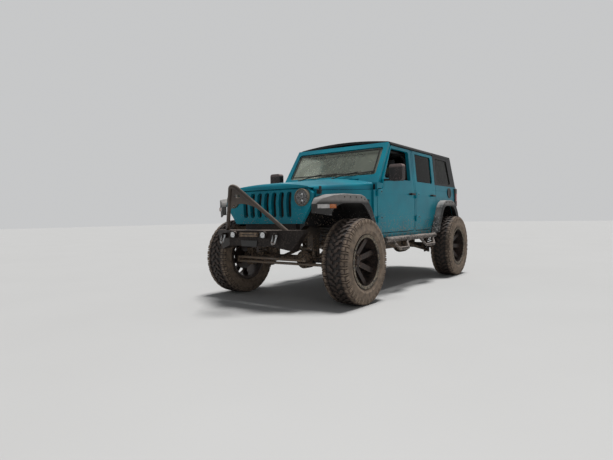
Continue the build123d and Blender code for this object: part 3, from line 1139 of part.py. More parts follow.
with BuildPart() as drag_link:
    steering_link((PITMAN_X, PITMAN_Y - STEERING_ARM), (-KINGPIN_X, -STEERING_ARM), DRAG_LINK_Z, 15,
                  OPEN_PIN_GAP, PIN_GAP)
finish(drag_link, "drag_link")

with BuildPart() as pitman_arm:
    block((PITMAN_X - 15, PITMAN_X + 15), (PITMAN_Y - STEERING_ARM, PITMAN_Y),
          (PITMAN_Z, PITMAN_Z + 20))
    rod((PITMAN_X, PITMAN_Y - STEERING_ARM, PITMAN_Z),
        (PITMAN_X, PITMAN_Y - STEERING_ARM, PITMAN_Z + 20), 20)
    rod((PITMAN_X, PITMAN_Y, PITMAN_Z), (PITMAN_X, PITMAN_Y, PITMAN_Z + 20), 30)
    rod((PITMAN_X, PITMAN_Y, PITMAN_Z), (PITMAN_X, PITMAN_Y, 690), PITMAN_SHAFT_RADIUS)
    rod((PITMAN_X, PITMAN_Y - STEERING_ARM, DRAG_LINK_Z - 15),
        (PITMAN_X, PITMAN_Y - STEERING_ARM, PITMAN_Z), LINK_PIN_RADIUS)
finish(pitman_arm, "pitman_arm")

# Cabin: dashboard with the steering wheel, seats and roll cage
with BuildPart() as dashboard:
    slab(side(-700), [(748 + SEAM, 1090), (748 + SEAM, 1330), (900, 1330), (968, 1290), (958, 1120),
                      (900, 1050)], 1400)
    rod((370, 940, 1190), (370, 1066, 1218), 26)
    column = Vector(0, 118, 26).normalized()
    wheel_plane = Plane(origin=(370, 1070, 1219), x_dir=(1, 0, 0), z_dir=column)
    with BuildSketch(Plane(origin=wheel_plane.origin, x_dir=(1, 0, 0),
                           z_dir=Vector(1, 0, 0).cross(column))) as grip:
        with Locations((182, 0)):
            Circle(15)
    revolve(grip.sketch, axis=Axis(wheel_plane.origin, column))
    with BuildSketch(wheel_plane) as hub_sketch:
        Circle(46)
        Rectangle(364, 34)
    extrude(hub_sketch.sketch, amount=9, both=True)
finish(dashboard, "dashboard")

with BuildPart() as front_seats:
    block((190, 610), (1200, 1700), (FLOOR_Z + FLOOR_THICKNESS + SEAM, 1090))
    slab(side(190), [(1590, 1080), (1700, 1080), (1800, 1640), (1700, 1640)], 420)
    slab(side(270), [(1715, 1640), (1800, 1640), (1820, 1800), (1738, 1800)], 260)
    mirror(about=Plane.YZ)
finish(front_seats, "front_seats")

with BuildPart() as rear_seat:
    block((-530, 530), (RISER_Y - 296, RISER_Y - SEAM), (FLOOR_Z + FLOOR_THICKNESS + SEAM, 1100))
    block((-530, 530), (RISER_Y - 2, RISER_Y + 184), (REAR_FLOOR_TOP + SEAM, 1100))
    slab(side(-530), [(RISER_Y + 94, 1090), (RISER_Y + 184, 1090), (RISER_Y + 274, 1650),
                      (RISER_Y + 184, 1650)], 1060)
finish(rear_seat, "rear_seat")

CAGE_TUBE = 28.0
HOOP_Y = B_PILLAR_Y + 90
with BuildPart() as roll_cage:
    foot_z = FLOOR_Z + FLOOR_THICKNESS + SEAM
    tube_run([(640, HOOP_Y, foot_z), (640, HOOP_Y, 1400), (590, HOOP_Y, 1838), (-590, HOOP_Y, 1838),
              (-640, HOOP_Y, 1400), (-640, HOOP_Y, foot_z)], 90, CAGE_TUBE)
    for sign in (1, -1):
        tube_run([(sign * 590, 1200, 1838), (sign * 590, WHEELBASE - 408, 1838),
                  (sign * 515, TAIL_Y - 290, 1120), (sign * 515, TAIL_Y - 290, REAR_FLOOR_TOP + SEAM)],
                 100, CAGE_TUBE - 4)
finish(roll_cage, "roll_cage")
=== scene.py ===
"""Looks of a lifted off-road 4x4: finishes, tread, trim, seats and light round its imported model."""

import logging
import math
from dataclasses import dataclass
from enum import Enum
from typing import Iterable, Optional, Sequence

import bmesh
import bpy
from mathutils import Matrix, Vector


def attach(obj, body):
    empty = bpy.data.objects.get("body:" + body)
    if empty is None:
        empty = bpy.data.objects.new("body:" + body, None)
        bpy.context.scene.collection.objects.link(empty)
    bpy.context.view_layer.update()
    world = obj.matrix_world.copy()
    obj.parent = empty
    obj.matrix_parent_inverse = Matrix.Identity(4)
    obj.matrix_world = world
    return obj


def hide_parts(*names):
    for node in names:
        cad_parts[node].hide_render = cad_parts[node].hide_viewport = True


LOG = logging.getLogger("offroad_4x4")
Point = tuple[float, float, float]
Flat = tuple[float, float]

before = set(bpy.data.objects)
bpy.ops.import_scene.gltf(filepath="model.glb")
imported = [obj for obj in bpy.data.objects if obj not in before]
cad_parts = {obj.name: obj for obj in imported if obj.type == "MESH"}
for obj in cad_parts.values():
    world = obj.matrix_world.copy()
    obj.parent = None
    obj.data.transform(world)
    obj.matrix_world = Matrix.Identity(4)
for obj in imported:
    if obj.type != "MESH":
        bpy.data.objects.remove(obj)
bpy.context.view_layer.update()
STATION_SHIFT = 1465.5
SIDES = {"left": 1.0, "right": -1.0}


def at(x: float, y: float, z: float) -> Vector:
    """A point of the vehicle's drawing, in millimetres from the front axle, in the row frame.

    Args:
        x: Distance to the vehicle's left.
        y: Distance behind the front axle.
        z: Height above the ground.

    Returns:
        The point in metres.
    """
    return Vector((x / 1000, (y - STATION_SHIFT) / 1000, z / 1000))


class Graph:
    """A material's node graph, with short calls for the nodes that the finishes share."""

    def __init__(self, name: str) -> None:
        """Start a material with a shader and an output.

        Args:
            name: The material's name.
        """
        self.material = bpy.data.materials.new(name)
        self.material.use_nodes = True
        self.tree = self.material.node_tree
        self.tree.nodes.clear()
        self.output = self.node("ShaderNodeOutputMaterial")
        self.shader = self.node("ShaderNodeBsdfPrincipled")
        self.tree.links.new(self.shader.outputs[0], self.output.inputs[0])
        self.place = self.node("ShaderNodeTexCoord")

    def node(self, kind: str, **settings: object) -> bpy.types.Node:
        """Add a node and set its properties.

        Args:
            kind: The node's type.
            **settings: Property names and values.

        Returns:
            The new node.
        """
        made = self.tree.nodes.new(kind)
        for name, value in settings.items():
            setattr(made, name, value)
        return made

    def feed(self, socket: bpy.types.NodeSocket, value: object) -> None:
        """Link a socket or set its value."""
        if isinstance(value, bpy.types.NodeSocket):
            self.tree.links.new(value, socket)
        else:
            socket.default_value = value

    def sum(self, operation: str, first: object, second: object = 0.0) -> bpy.types.NodeSocket:
        """The result of a math node, kept between 0 and 1 only where the operation does so."""
        made = self.node("ShaderNodeMath", operation=operation)
        self.feed(made.inputs[0], first)
        self.feed(made.inputs[1], second)
        return made.outputs[0]

    def step(self, value: object, low: float, high: float) -> bpy.types.NodeSocket:
        """A smooth step from 0 at one value to 1 at another."""
        made = self.node("ShaderNodeMapRange", interpolation_type="SMOOTHSTEP")
        self.feed(made.inputs[0], value)
        made.inputs[1].default_value = low
        made.inputs[2].default_value = high
        return made.outputs[0]

    def blend(self, share: object, first: object, second: object) -> bpy.types.NodeSocket:
        """A colour between two others.

        Args:
            share: How much of the second colour there is.
            first: The colour at a share of 0.
            second: The colour at a share of 1.

        Returns:
            The mixed colour's socket.
        """
        made = self.node("ShaderNodeMix", data_type="RGBA")
        self.feed(made.inputs[0], share)
        for socket, value in ((made.inputs[6], first), (made.inputs[7], second)):
            self.feed(socket, (*value, 1.0) if isinstance(value, tuple) else value)
        return made.outputs[2]

    def between(self, share: object, first: object, second: object) -> bpy.types.NodeSocket:
        """A number between two others."""
        made = self.node("ShaderNodeMix", data_type="FLOAT")
        self.feed(made.inputs[0], share)
        self.feed(made.inputs[2], first)
        self.feed(made.inputs[3], second)
        return made.outputs[0]

    def spot(self, stretch: Point = (1.0, 1.0, 1.0)) -> bpy.types.NodeSocket:
        """The object's coordinates, stretched along its axes."""
        if stretch == (1.0, 1.0, 1.0):
            return self.place.outputs["Object"]
        made = self.node("ShaderNodeMapping")
        self.feed(made.inputs[0], self.place.outputs["Object"])
        made.inputs[3].default_value = stretch
        return made.outputs[0]

    def noise(self, scale: float, detail: float = 3.0,
              stretch: Point = (1.0, 1.0, 1.0)) -> bpy.types.NodeSocket:
        """A cloudy value between 0 and 1 at a scale in cycles per metre."""
        made = self.node("ShaderNodeTexNoise")
        self.feed(made.inputs["Vector"], self.spot(stretch))
        made.inputs["Scale"].default_value = scale
        made.inputs["Detail"].default_value = detail
        return made.outputs[0]

    def cells(self, scale: float) -> bpy.types.NodeSocket:
        """The distance to the nearest of scattered points."""
        made = self.node("ShaderNodeTexVoronoi")
        self.feed(made.inputs["Vector"], self.spot())
        made.inputs["Scale"].default_value = scale
        return made.outputs[0]

    def axis(self, letter: str, of_normal: bool = False) -> bpy.types.NodeSocket:
        """One part of the object's coordinates or of its normal."""
        made = self.node("ShaderNodeSeparateXYZ")
        source = self.place.outputs["Normal" if of_normal else "Object"]
        self.feed(made.inputs[0], source)
        return made.outputs["XYZ".index(letter)]

    def bump(self, height: object, distance: float, strength: float = 1.0) -> None:
        """Roughen the shader's normal with a height."""
        made = self.node("ShaderNodeBump")
        made.inputs["Distance"].default_value = distance
        made.inputs["Strength"].default_value = strength
        self.feed(made.inputs["Height"], height)
        self.feed(self.shader.inputs["Normal"], made.outputs[0])

    def shade(self, **values: object) -> bpy.types.Material:
        """Set the shader's sockets by name, with underscores for spaces, and give the material."""
        for name, value in values.items():
            if isinstance(value, tuple) and len(value) == 3:
                value = (*value, 1.0)
            self.feed(self.shader.inputs[name.replace("_", " ")], value)
        return self.material


@dataclass(frozen=True)
class Soil:
    """How dry dust and splashed mud lie on a finish, with a painted highlight on some finishes' tops:
    heavy pale cover on what looks up and a pale band above a given height.
    """

    # Weight of the pale cover on what looks up: dust, and where it is set past 1, also a painted
    # highlight on the tops.
    dust: float = 0.35
    film: float = 0.12
    splash: float = 0.5
    splash_top: float = 1.25
    tint: Point = (0.30, 0.215, 0.15)
    # Height in metres above which a pale band is painted on as a highlight along rounded tops; 99
    # leaves it out.
    painted_highlight_above: float = 99.0

    def mask(self, graph: Graph) -> bpy.types.NodeSocket:
        """Where the soil and the painted top highlight cover the finish, from 0 to 1.

        Args:
            graph: The material's graph.

        Returns:
            The socket of the cover.
        """
        # Pale cover on what looks up: settled dust, and with a heavy dust weight also a painted
        # highlight on the tops.
        upward = graph.step(graph.axis("Z", of_normal=True), 0.25, 0.95)
        patch = graph.step(graph.noise(9.0, 5.0), 0.3, 0.75)
        top_dust_and_highlight = graph.sum("MULTIPLY", graph.sum("MULTIPLY", upward, patch), self.dust)
        # A pale band above the given height: a painted highlight along the part's rounded top.
        if self.painted_highlight_above < 90.0:
            high = graph.sum("MULTIPLY", graph.step(graph.axis("Z"), self.painted_highlight_above, self.painted_highlight_above + 0.04),
                             graph.between(patch, 0.6, 0.8))
            top_dust_and_highlight = graph.sum("MAXIMUM", top_dust_and_highlight, high)
        film = graph.sum("MULTIPLY", graph.step(graph.noise(3.1, 6.0), 0.32, 0.72), self.film)
        low = graph.sum("SUBTRACT", 1.0, graph.step(graph.axis("Z"), 0.45, self.splash_top))
        wet = graph.sum("ADD", graph.sum("MULTIPLY", low, 0.22), 0.04)
        drops = graph.sum("SUBTRACT", graph.sum("MULTIPLY", graph.noise(17.0, 2.0), wet),
                          graph.sum("MULTIPLY", graph.cells(46.0), 0.24))
        specks = graph.sum("MULTIPLY", graph.step(drops, 0.0, 0.018), self.splash)
        total = graph.sum("ADD", graph.sum("ADD", top_dust_and_highlight, film), specks)
        made = graph.node("ShaderNodeClamp")
        graph.feed(made.inputs[0], total)
        made.inputs[2].default_value = 0.93
        return made.outputs[0]


CLEAN = Soil(dust=0.04, film=0.03, splash=0.0)


@dataclass(frozen=True)
class Finish:
    """A solid finish: its colour, how it shines, its grain and the soil on it, which on some finishes
    also paints a highlight on their tops.
    """

    name: str
    colour: Point
    roughness: float = 0.5
    metallic: float = 0.0
    coat: float = 0.0
    grain: float = 0.0
    grain_scale: float = 900.0
    mottle: float = 0.12
    gloss: float = 0.5
    soil: Soil = Soil()

    def made(self) -> bpy.types.Material:
        """Build the material once, with its soil and painted top highlight, mottling and grain."""
        found = bpy.data.materials.get(self.name)
        if found:
            return found
        graph = Graph(self.name)
        cover = self.soil.mask(graph)
        dark = tuple(part * (1 - self.mottle) for part in self.colour)
        light = tuple(min(1.0, part * (1 + self.mottle)) for part in self.colour)
        base = graph.blend(graph.step(graph.noise(26.0, 6.0), 0.3, 0.7), dark, light)
        tint = graph.blend(graph.noise(60.0, 4.0), self.soil.tint,
                           tuple(part * 0.62 for part in self.soil.tint))
        # The soil's colour where the cover lies: dust and mud, and on some finishes the painted top
        # highlight.
        colour = graph.blend(cover, base, tint)
        rough = graph.between(cover, self.roughness, 0.92)
        clean = graph.sum("SUBTRACT", 1.0, cover)
        grain = graph.noise(self.grain_scale, 2.0)
        height = graph.sum("ADD", graph.sum("MULTIPLY", grain, self.grain),
                           graph.sum("MULTIPLY", cover, 0.35))
        graph.bump(height, 0.0012, 0.6)
        values: dict[str, object] = {"Base_Color": colour, "Roughness": rough,
                                     "Specular_IOR_Level": self.gloss}
        if self.metallic:
            values["Metallic"] = graph.sum("MULTIPLY", clean, self.metallic)
        if self.coat:
            values["Coat_Weight"] = graph.sum("MULTIPLY", clean, self.coat)
            values["Coat_Roughness"] = 0.05
        return graph.shade(**values)


@dataclass(frozen=True)
class Paint:
    """Metallic body paint with a clear coat, dust on what looks up and mud thrown from below."""

    name: str
    deep: Point
    bright: Point
    soil: Soil
    lined_below: float = 0.0

    def lining(self, graph: Graph) -> bpy.types.NodeSocket:
        """Where the sheet's inner faces wear dark trim and liner, from 0 to 1.

        Args:
            graph: The material's graph.

        Returns:
            The socket of the lining's share.
        """
        across = graph.sum("ABSOLUTE", graph.axis("X"))
        from_axle = graph.sum("ABSOLUTE", graph.sum("SUBTRACT", graph.axis("Y"), 1.5425))
        arch = graph.sum("SUBTRACT", 1.0, graph.step(from_axle, 0.55, 0.56))
        across = graph.sum("SUBTRACT", across, graph.sum("MULTIPLY", arch, 0.024))
        inner = graph.sum("SUBTRACT", 1.0, graph.step(across, 0.758, 0.764))
        low = graph.sum("SUBTRACT", 1.0, graph.step(graph.axis("Z"), self.lined_below - 0.004,
                                                    self.lined_below))
        ahead = graph.sum("SUBTRACT", 1.0, graph.step(graph.axis("Y"), 2.02, 2.03))
        return graph.sum("MULTIPLY", graph.sum("MULTIPLY", inner, low), ahead)

    def made(self) -> bpy.types.Material:
        """Build the paint: fine flakes, a slow drift of tone and the soil over both."""
        found = bpy.data.materials.get(self.name)
        if found:
            return found
        graph = Graph(self.name)
        cover = self.soil.mask(graph)
        base = graph.blend(graph.step(graph.noise(1.6, 2.0), 0.3, 0.7), self.bright, self.deep)
        flakes = graph.step(graph.cells(2400.0), 0.15, 0.5)
        base = graph.blend(graph.sum("MULTIPLY", flakes, 0.3), base, self.deep)
        tint = graph.blend(graph.noise(60.0, 4.0), self.soil.tint,
                           tuple(part * 0.62 for part in self.soil.tint))
        clean = graph.sum("SUBTRACT", 1.0, cover)
        graph.bump(graph.sum("ADD", graph.sum("MULTIPLY", cover, 0.3),
                             graph.sum("MULTIPLY", graph.noise(420.0, 1.0), 0.012)), 0.0012, 0.5)
        if self.lined_below:
            lining = self.lining(graph)
            base = graph.blend(lining, base, (0.012, 0.012, 0.013))
            clean = graph.sum("MULTIPLY", clean, graph.sum("SUBTRACT", 1.0, lining))
        return graph.shade(Base_Color=graph.blend(cover, base, tint),
                           Metallic=graph.sum("MULTIPLY", clean, 0.15),
                           Roughness=graph.between(clean, 0.9, 0.34), Specular_IOR_Level=0.12,
                           Coat_Weight=graph.sum("MULTIPLY", clean, 0.14), Coat_Roughness=0.05)


@dataclass(frozen=True)
class Glass:
    """Window glass: tinted behind the front doors, with a dusty film that the wipers have swept."""

    name: str
    clear: Point = (0.62, 0.68, 0.64)
    dark: Point = (0.03, 0.033, 0.027)
    film: float = 0.35
    swept: bool = False
    bend: float = 1.14

    def made(self) -> bpy.types.Material:
        """Build the glass with its tint, film and dried drops."""
        found = bpy.data.materials.get(self.name)
        if found:
            return found
        graph = Graph(self.name)
        behind = graph.step(graph.axis("Y"), 0.0, 0.02)
        tint = graph.blend(behind, self.clear, self.dark)
        cloud = graph.step(graph.noise(5.0, 6.0), 0.2, 0.85)
        film = graph.sum("MULTIPLY", graph.sum("ADD", graph.sum("MULTIPLY", cloud, 0.7), 0.3),
                         self.film)
        drops = graph.step(graph.sum("SUBTRACT", graph.sum("MULTIPLY", graph.noise(21.0, 2.0), 0.3),
                                     graph.cells(55.0)), 0.0, 0.05)
        film = graph.sum("ADD", film, graph.sum("MULTIPLY", drops, 0.35))
        film = graph.sum("MULTIPLY", film, graph.between(behind, 1.0, 0.4))
        if self.swept:
            film = graph.sum("MULTIPLY", film, graph.between(self.sweep(graph), 1.0, 0.62))
        made = graph.node("ShaderNodeClamp")
        graph.feed(made.inputs[0], film)
        made.inputs[2].default_value = 0.9
        cover = made.outputs[0]
        dust = graph.blend(graph.noise(40.0, 3.0), (0.13, 0.125, 0.085), (0.085, 0.083, 0.056))
        return graph.shade(Base_Color=graph.blend(cover, tint, dust),
                           IOR=graph.between(behind, self.bend + 0.1, self.bend),
                           Roughness=graph.between(cover, 0.0, 0.8),
                           Transmission_Weight=graph.sum("SUBTRACT", 1.0, cover))

    def sweep(self, graph: Graph) -> bpy.types.NodeSocket:
        """Where the two wiper blades reach: inside either of two circles round their pivots."""
        reach: Optional[bpy.types.NodeSocket] = None
        for x in (-0.5, 0.06):
            away = graph.node("ShaderNodeVectorMath", operation="DISTANCE")
            graph.feed(away.inputs[0], graph.spot())
            away.inputs[1].default_value = (x + 0.1, -0.72, 1.45)
            inside = graph.sum("SUBTRACT", 1.0, graph.step(away.outputs["Value"], 0.50, 0.515))
            reach = inside if reach is None else graph.sum("MAXIMUM", reach, inside)
        return reach


@dataclass(frozen=True)
class Rubber:
    """Tyre rubber under dry road dust, pale on the walls and brown on the lugs, with painted shade
    dark in the gaps between the lugs and down their walls.
    """

    name: str
    lug_top: float = 0.462

    def made(self) -> bpy.types.Material:
        """Build the rubber, its dust by patches and the painted shade in the tread's gaps, with a
        fine grain.
        """
        found = bpy.data.materials.get(self.name)
        if found:
            return found
        graph = Graph(self.name)
        worn = graph.step(graph.noise(14.0, 6.0), 0.3, 0.7)
        fine = graph.step(graph.noise(130.0, 4.0), 0.32, 0.68)
        cover = graph.sum("ADD", graph.sum("MULTIPLY", worn, 0.42),
                          graph.sum("MULTIPLY", fine, 0.28))
        # The stored value per point: dust by its place in the section, and near zero in the tread's
        # gaps and lower lug walls as painted shade, so bare dark rubber shows there.
        attribute = graph.node("ShaderNodeAttribute", attribute_name="dust_and_gap_shade")
        cover = graph.sum("MULTIPLY", graph.sum("ADD", cover, 0.22), attribute.outputs["Fac"])
        made = graph.node("ShaderNodeClamp")
        graph.feed(made.inputs[0], cover)
        road = graph.blend(graph.noise(34.0, 4.0), (0.16, 0.105, 0.078), (0.09, 0.058, 0.043))
        tan = graph.blend(graph.noise(34.0, 4.0), (0.33, 0.255, 0.19), (0.17, 0.125, 0.092))
        dust = graph.blend(graph.step(attribute.outputs["Fac"], 0.55, 1.3), road, tan)
        graph.bump(graph.sum("ADD", graph.sum("MULTIPLY", graph.noise(520.0, 3.0), 0.25),
                             graph.sum("MULTIPLY", fine, 0.2)), 0.0015, 0.6)
        return graph.shade(Base_Color=graph.blend(made.outputs[0], (0.013, 0.011, 0.01), dust),
                           Roughness=graph.between(made.outputs[0], 0.62, 0.95))


@dataclass(frozen=True)
class Cloth:
    """Woven seat cloth with a dark yarn and a slightly lighter weft."""

    name: str
    colour: Point = (0.035, 0.035, 0.037)

    def made(self) -> bpy.types.Material:
        """Build the weave from two crossed waves."""
        found = bpy.data.materials.get(self.name)
        if found:
            return found
        graph = Graph(self.name)
        waves = []
        for direction in ("X", "Z"):
            wave = graph.node("ShaderNodeTexWave", bands_direction=direction)
            graph.feed(wave.inputs["Vector"], graph.spot())
            wave.inputs["Scale"].default_value = 210.0
            wave.inputs["Distortion"].default_value = 0.6
            waves.append(wave.outputs["Fac"])
        weave = graph.sum("MULTIPLY", waves[0], waves[1])
        light = tuple(part * 2.1 for part in self.colour)
        graph.bump(weave, 0.0009, 0.7)
        shade = graph.blend(graph.sum("ADD", graph.sum("MULTIPLY", weave, 0.6),
                                      graph.sum("MULTIPLY", graph.noise(8.0), 0.25)),
                            self.colour, light)
        return graph.shade(Base_Color=shade, Roughness=0.86, Sheen_Weight=0.25)


class Shop(Enum):
    """The vehicle's finishes by the piece they are for."""

    BODY = Paint("body_teal", deep=(0.0, 0.17, 0.24), bright=(0.0, 0.3, 0.39),
                 soil=Soil(dust=0.06, film=0.03, splash=0.85, splash_top=1.25,
                           tint=(0.4, 0.32, 0.25)))
    TUB = Paint("body_teal_lined", deep=(0.0, 0.17, 0.24), bright=(0.0, 0.3, 0.39),
                soil=Soil(dust=0.06, film=0.03, splash=0.85, splash_top=1.25,
                          tint=(0.4, 0.32, 0.25)), lined_below=1.35)
    FENDER = Paint("fender_teal_lined", deep=(0.0, 0.17, 0.24), bright=(0.0, 0.3, 0.39),
                   soil=Soil(dust=0.06, film=0.03, splash=0.85, splash_top=1.25,
                             tint=(0.4, 0.32, 0.25)), lined_below=1.16)
    HARDTOP = Finish("hardtop_coat", (0.01, 0.01, 0.011), 0.5, grain=0.5, grain_scale=700.0,
                     gloss=0.3, soil=Soil(dust=0.28, film=0.04, splash=0.0,
                                          tint=(0.3, 0.28, 0.24)))
    # Pale grey cover on the flares' upward faces and along their crest: dust, and a painted highlight
    # standing for the sky's reflection on the black plastic.
    FLARE = Finish("flare_black", (0.02, 0.0195, 0.0195), 0.6, grain=0.5, grain_scale=800.0,
                   gloss=0.35, soil=Soil(dust=1.3, film=0.16, splash=0.75, splash_top=1.25,
                                         tint=(0.46, 0.44, 0.42), painted_highlight_above=1.1))
    # Heavy pale cover on the bumpers' upward faces: dust, and a painted highlight along their top
    # edges.
    ARMOUR = Finish("armour_coat", (0.011, 0.008, 0.007), 0.5, grain=0.9, grain_scale=420.0,
                    gloss=0.2, soil=Soil(dust=1.2, film=0.05, splash=0.07,
                                         tint=(0.36, 0.29, 0.25)))
    # Heavy pale cover on the stinger's upward faces: dust, and a painted highlight along the tube's
    # top.
    STINGER = Finish("stinger_coat", (0.03, 0.02, 0.014), 0.5, grain=0.8, grain_scale=420.0,
                     gloss=0.4, soil=Soil(dust=1.3, film=0.2, splash=0.1, splash_top=1.5,
                                          tint=(0.34, 0.27, 0.22)))
    STEP = Finish("step_coat", (0.02, 0.018, 0.017), 0.55, grain=0.8, grain_scale=420.0,
                  soil=Soil(dust=0.95, film=0.5, splash=0.8, tint=(0.4, 0.34, 0.3)))
    CHASSIS = Finish("chassis_coat", (0.02, 0.019, 0.018), 0.6, grain=0.5,
                     soil=Soil(dust=0.6, film=0.45, splash=0.8, splash_top=1.0))
    CASTING = Finish("axle_casting", (0.04, 0.036, 0.033), 0.7, metallic=0.3, grain=1.0,
                     grain_scale=260.0, soil=Soil(dust=0.6, film=0.5, splash=0.8))
    STEEL = Finish("link_steel", (0.2, 0.18, 0.16), 0.45, metallic=0.8, grain=0.2,
                   soil=Soil(dust=0.6, film=0.5, splash=0.8))
    SHOCK = Finish("shock_paint", (0.32, 0.31, 0.3), 0.35, metallic=0.4,
                   soil=Soil(dust=0.5, film=0.4, splash=0.7))
    ENGINE = Finish("engine_casting", (0.16, 0.16, 0.165), 0.55, metallic=0.6, grain=0.8,
                    grain_scale=300.0, soil=Soil(dust=0.4, film=0.3, splash=0.2))
    TANK = Finish("tank_shell", (0.02, 0.02, 0.02), 0.5, grain=0.3,
                  soil=Soil(dust=0.5, film=0.4, splash=0.8))
    EXHAUST = Finish("exhaust_pipe", (0.3, 0.265, 0.23), 0.42, metallic=0.85, mottle=0.3,
                     soil=Soil(dust=0.5, film=0.4, splash=0.7))
    RIM = Finish("rim_gunmetal", (0.03, 0.027, 0.026), 0.36, metallic=0.5, coat=0.25, gloss=0.4,
                 soil=Soil(dust=0.25, film=0.26, splash=0.2, tint=(0.2, 0.125, 0.09)))
    LIP = Finish("rim_lip_dusty", (0.05, 0.045, 0.042), 0.5, metallic=0.3,
                 soil=Soil(dust=0.5, film=0.85, splash=0.9, splash_top=1.4,
                           tint=(0.36, 0.3, 0.22)))
    # Pale cover on the mirror housings' tops and a pale band near the top: brown dust, and a painted
    # highlight on the rounded tops.
    MIRROR_SHELL = Finish("mirror_shell", (0.02, 0.017, 0.017), 0.5, grain=0.4, gloss=0.35,
                          soil=Soil(dust=1.2, film=0.16, splash=0.35, splash_top=2.2,
                                    tint=(0.42, 0.31, 0.29), painted_highlight_above=1.54))
    TRIM = Finish("trim_black", (0.012, 0.012, 0.012), 0.48, grain=0.4, gloss=0.35,
                  soil=Soil(dust=0.2, film=0.04, splash=0.2))
    SEAL = Finish("seal_rubber", (0.01, 0.01, 0.01), 0.7, grain=0.3, gloss=0.3,
                  soil=Soil(dust=0.2, film=0.04, splash=0.1))
    BOLT = Finish("bolt_black", (0.03, 0.029, 0.028), 0.42, metallic=0.6,
                  soil=Soil(dust=0.4, film=0.3, splash=0.4))
    CHROME = Finish("lamp_chrome", (0.72, 0.72, 0.73), 0.12, metallic=1.0, mottle=0.03, soil=CLEAN)
    BOWL = Finish("lamp_bowl", (0.2, 0.185, 0.18), 0.3, metallic=0.9, mottle=0.2, soil=CLEAN)
    LAMP_BLACK = Finish("lamp_black", (0.012, 0.012, 0.013), 0.3, soil=CLEAN)
    AMBER = Finish("lens_amber", (0.48, 0.115, 0.006), 0.2, coat=0.4, mottle=0.3,
                   soil=Soil(dust=0.1, film=0.12, splash=0.3))
    PEARL = Finish("lens_pearl", (0.5, 0.48, 0.47), 0.2, coat=0.4, mottle=0.2,
                   soil=Soil(dust=0.1, film=0.2, splash=0.3))
    RED = Finish("lens_red", (0.34, 0.008, 0.01), 0.15, coat=0.7, mottle=0.2,
                 soil=Soil(dust=0.1, film=0.1, splash=0.2))
    CORE = Finish("radiator_core", (0.02, 0.02, 0.021), 0.5, metallic=0.5, grain=1.5,
                  grain_scale=150.0, soil=Soil(dust=0.2, film=0.2, splash=0.2))
    DASH = Finish("dash_grain", (0.022, 0.022, 0.023), 0.6, grain=0.7, grain_scale=600.0,
                  soil=CLEAN)
    CAGE = Finish("cage_coat", (0.016, 0.016, 0.016), 0.45, grain=0.3, soil=CLEAN)
    SHACKLE = Finish("shackle_plated", (0.4, 0.42, 0.43), 0.35, metallic=0.5, mottle=0.3,
                     soil=Soil(dust=0.3, film=0.25, splash=0.5, tint=(0.2, 0.125, 0.085)))
    WORN = Finish("worn_edge_steel", (0.17, 0.125, 0.085), 0.45, metallic=0.5, mottle=0.35,
                  soil=Soil(dust=0.3, film=0.3, splash=0.4, tint=(0.2, 0.125, 0.085)))
    SILVER = Finish("mirror_silver", (0.8, 0.81, 0.82), 0.03, metallic=1.0, mottle=0.01,
                    soil=Soil(dust=0.0, film=0.06, splash=0.1, splash_top=2.0))
    WINDOW = Glass("cab_glass", clear=(0.5, 0.54, 0.46), film=0.82, swept=True)
    DOOR_GLASS = Glass("door_glass", clear=(0.03, 0.032, 0.028), film=0.3)
    LENS = Glass("lens_glass", clear=(0.97, 0.98, 0.98), dark=(0.97, 0.98, 0.98), film=0.07,
                 bend=1.35)
    TYRE = Rubber("tyre_rubber")
    SEAT = Cloth("seat_cloth")

    def material(self) -> bpy.types.Material:
        """The finish's material."""
        return self.value.made()


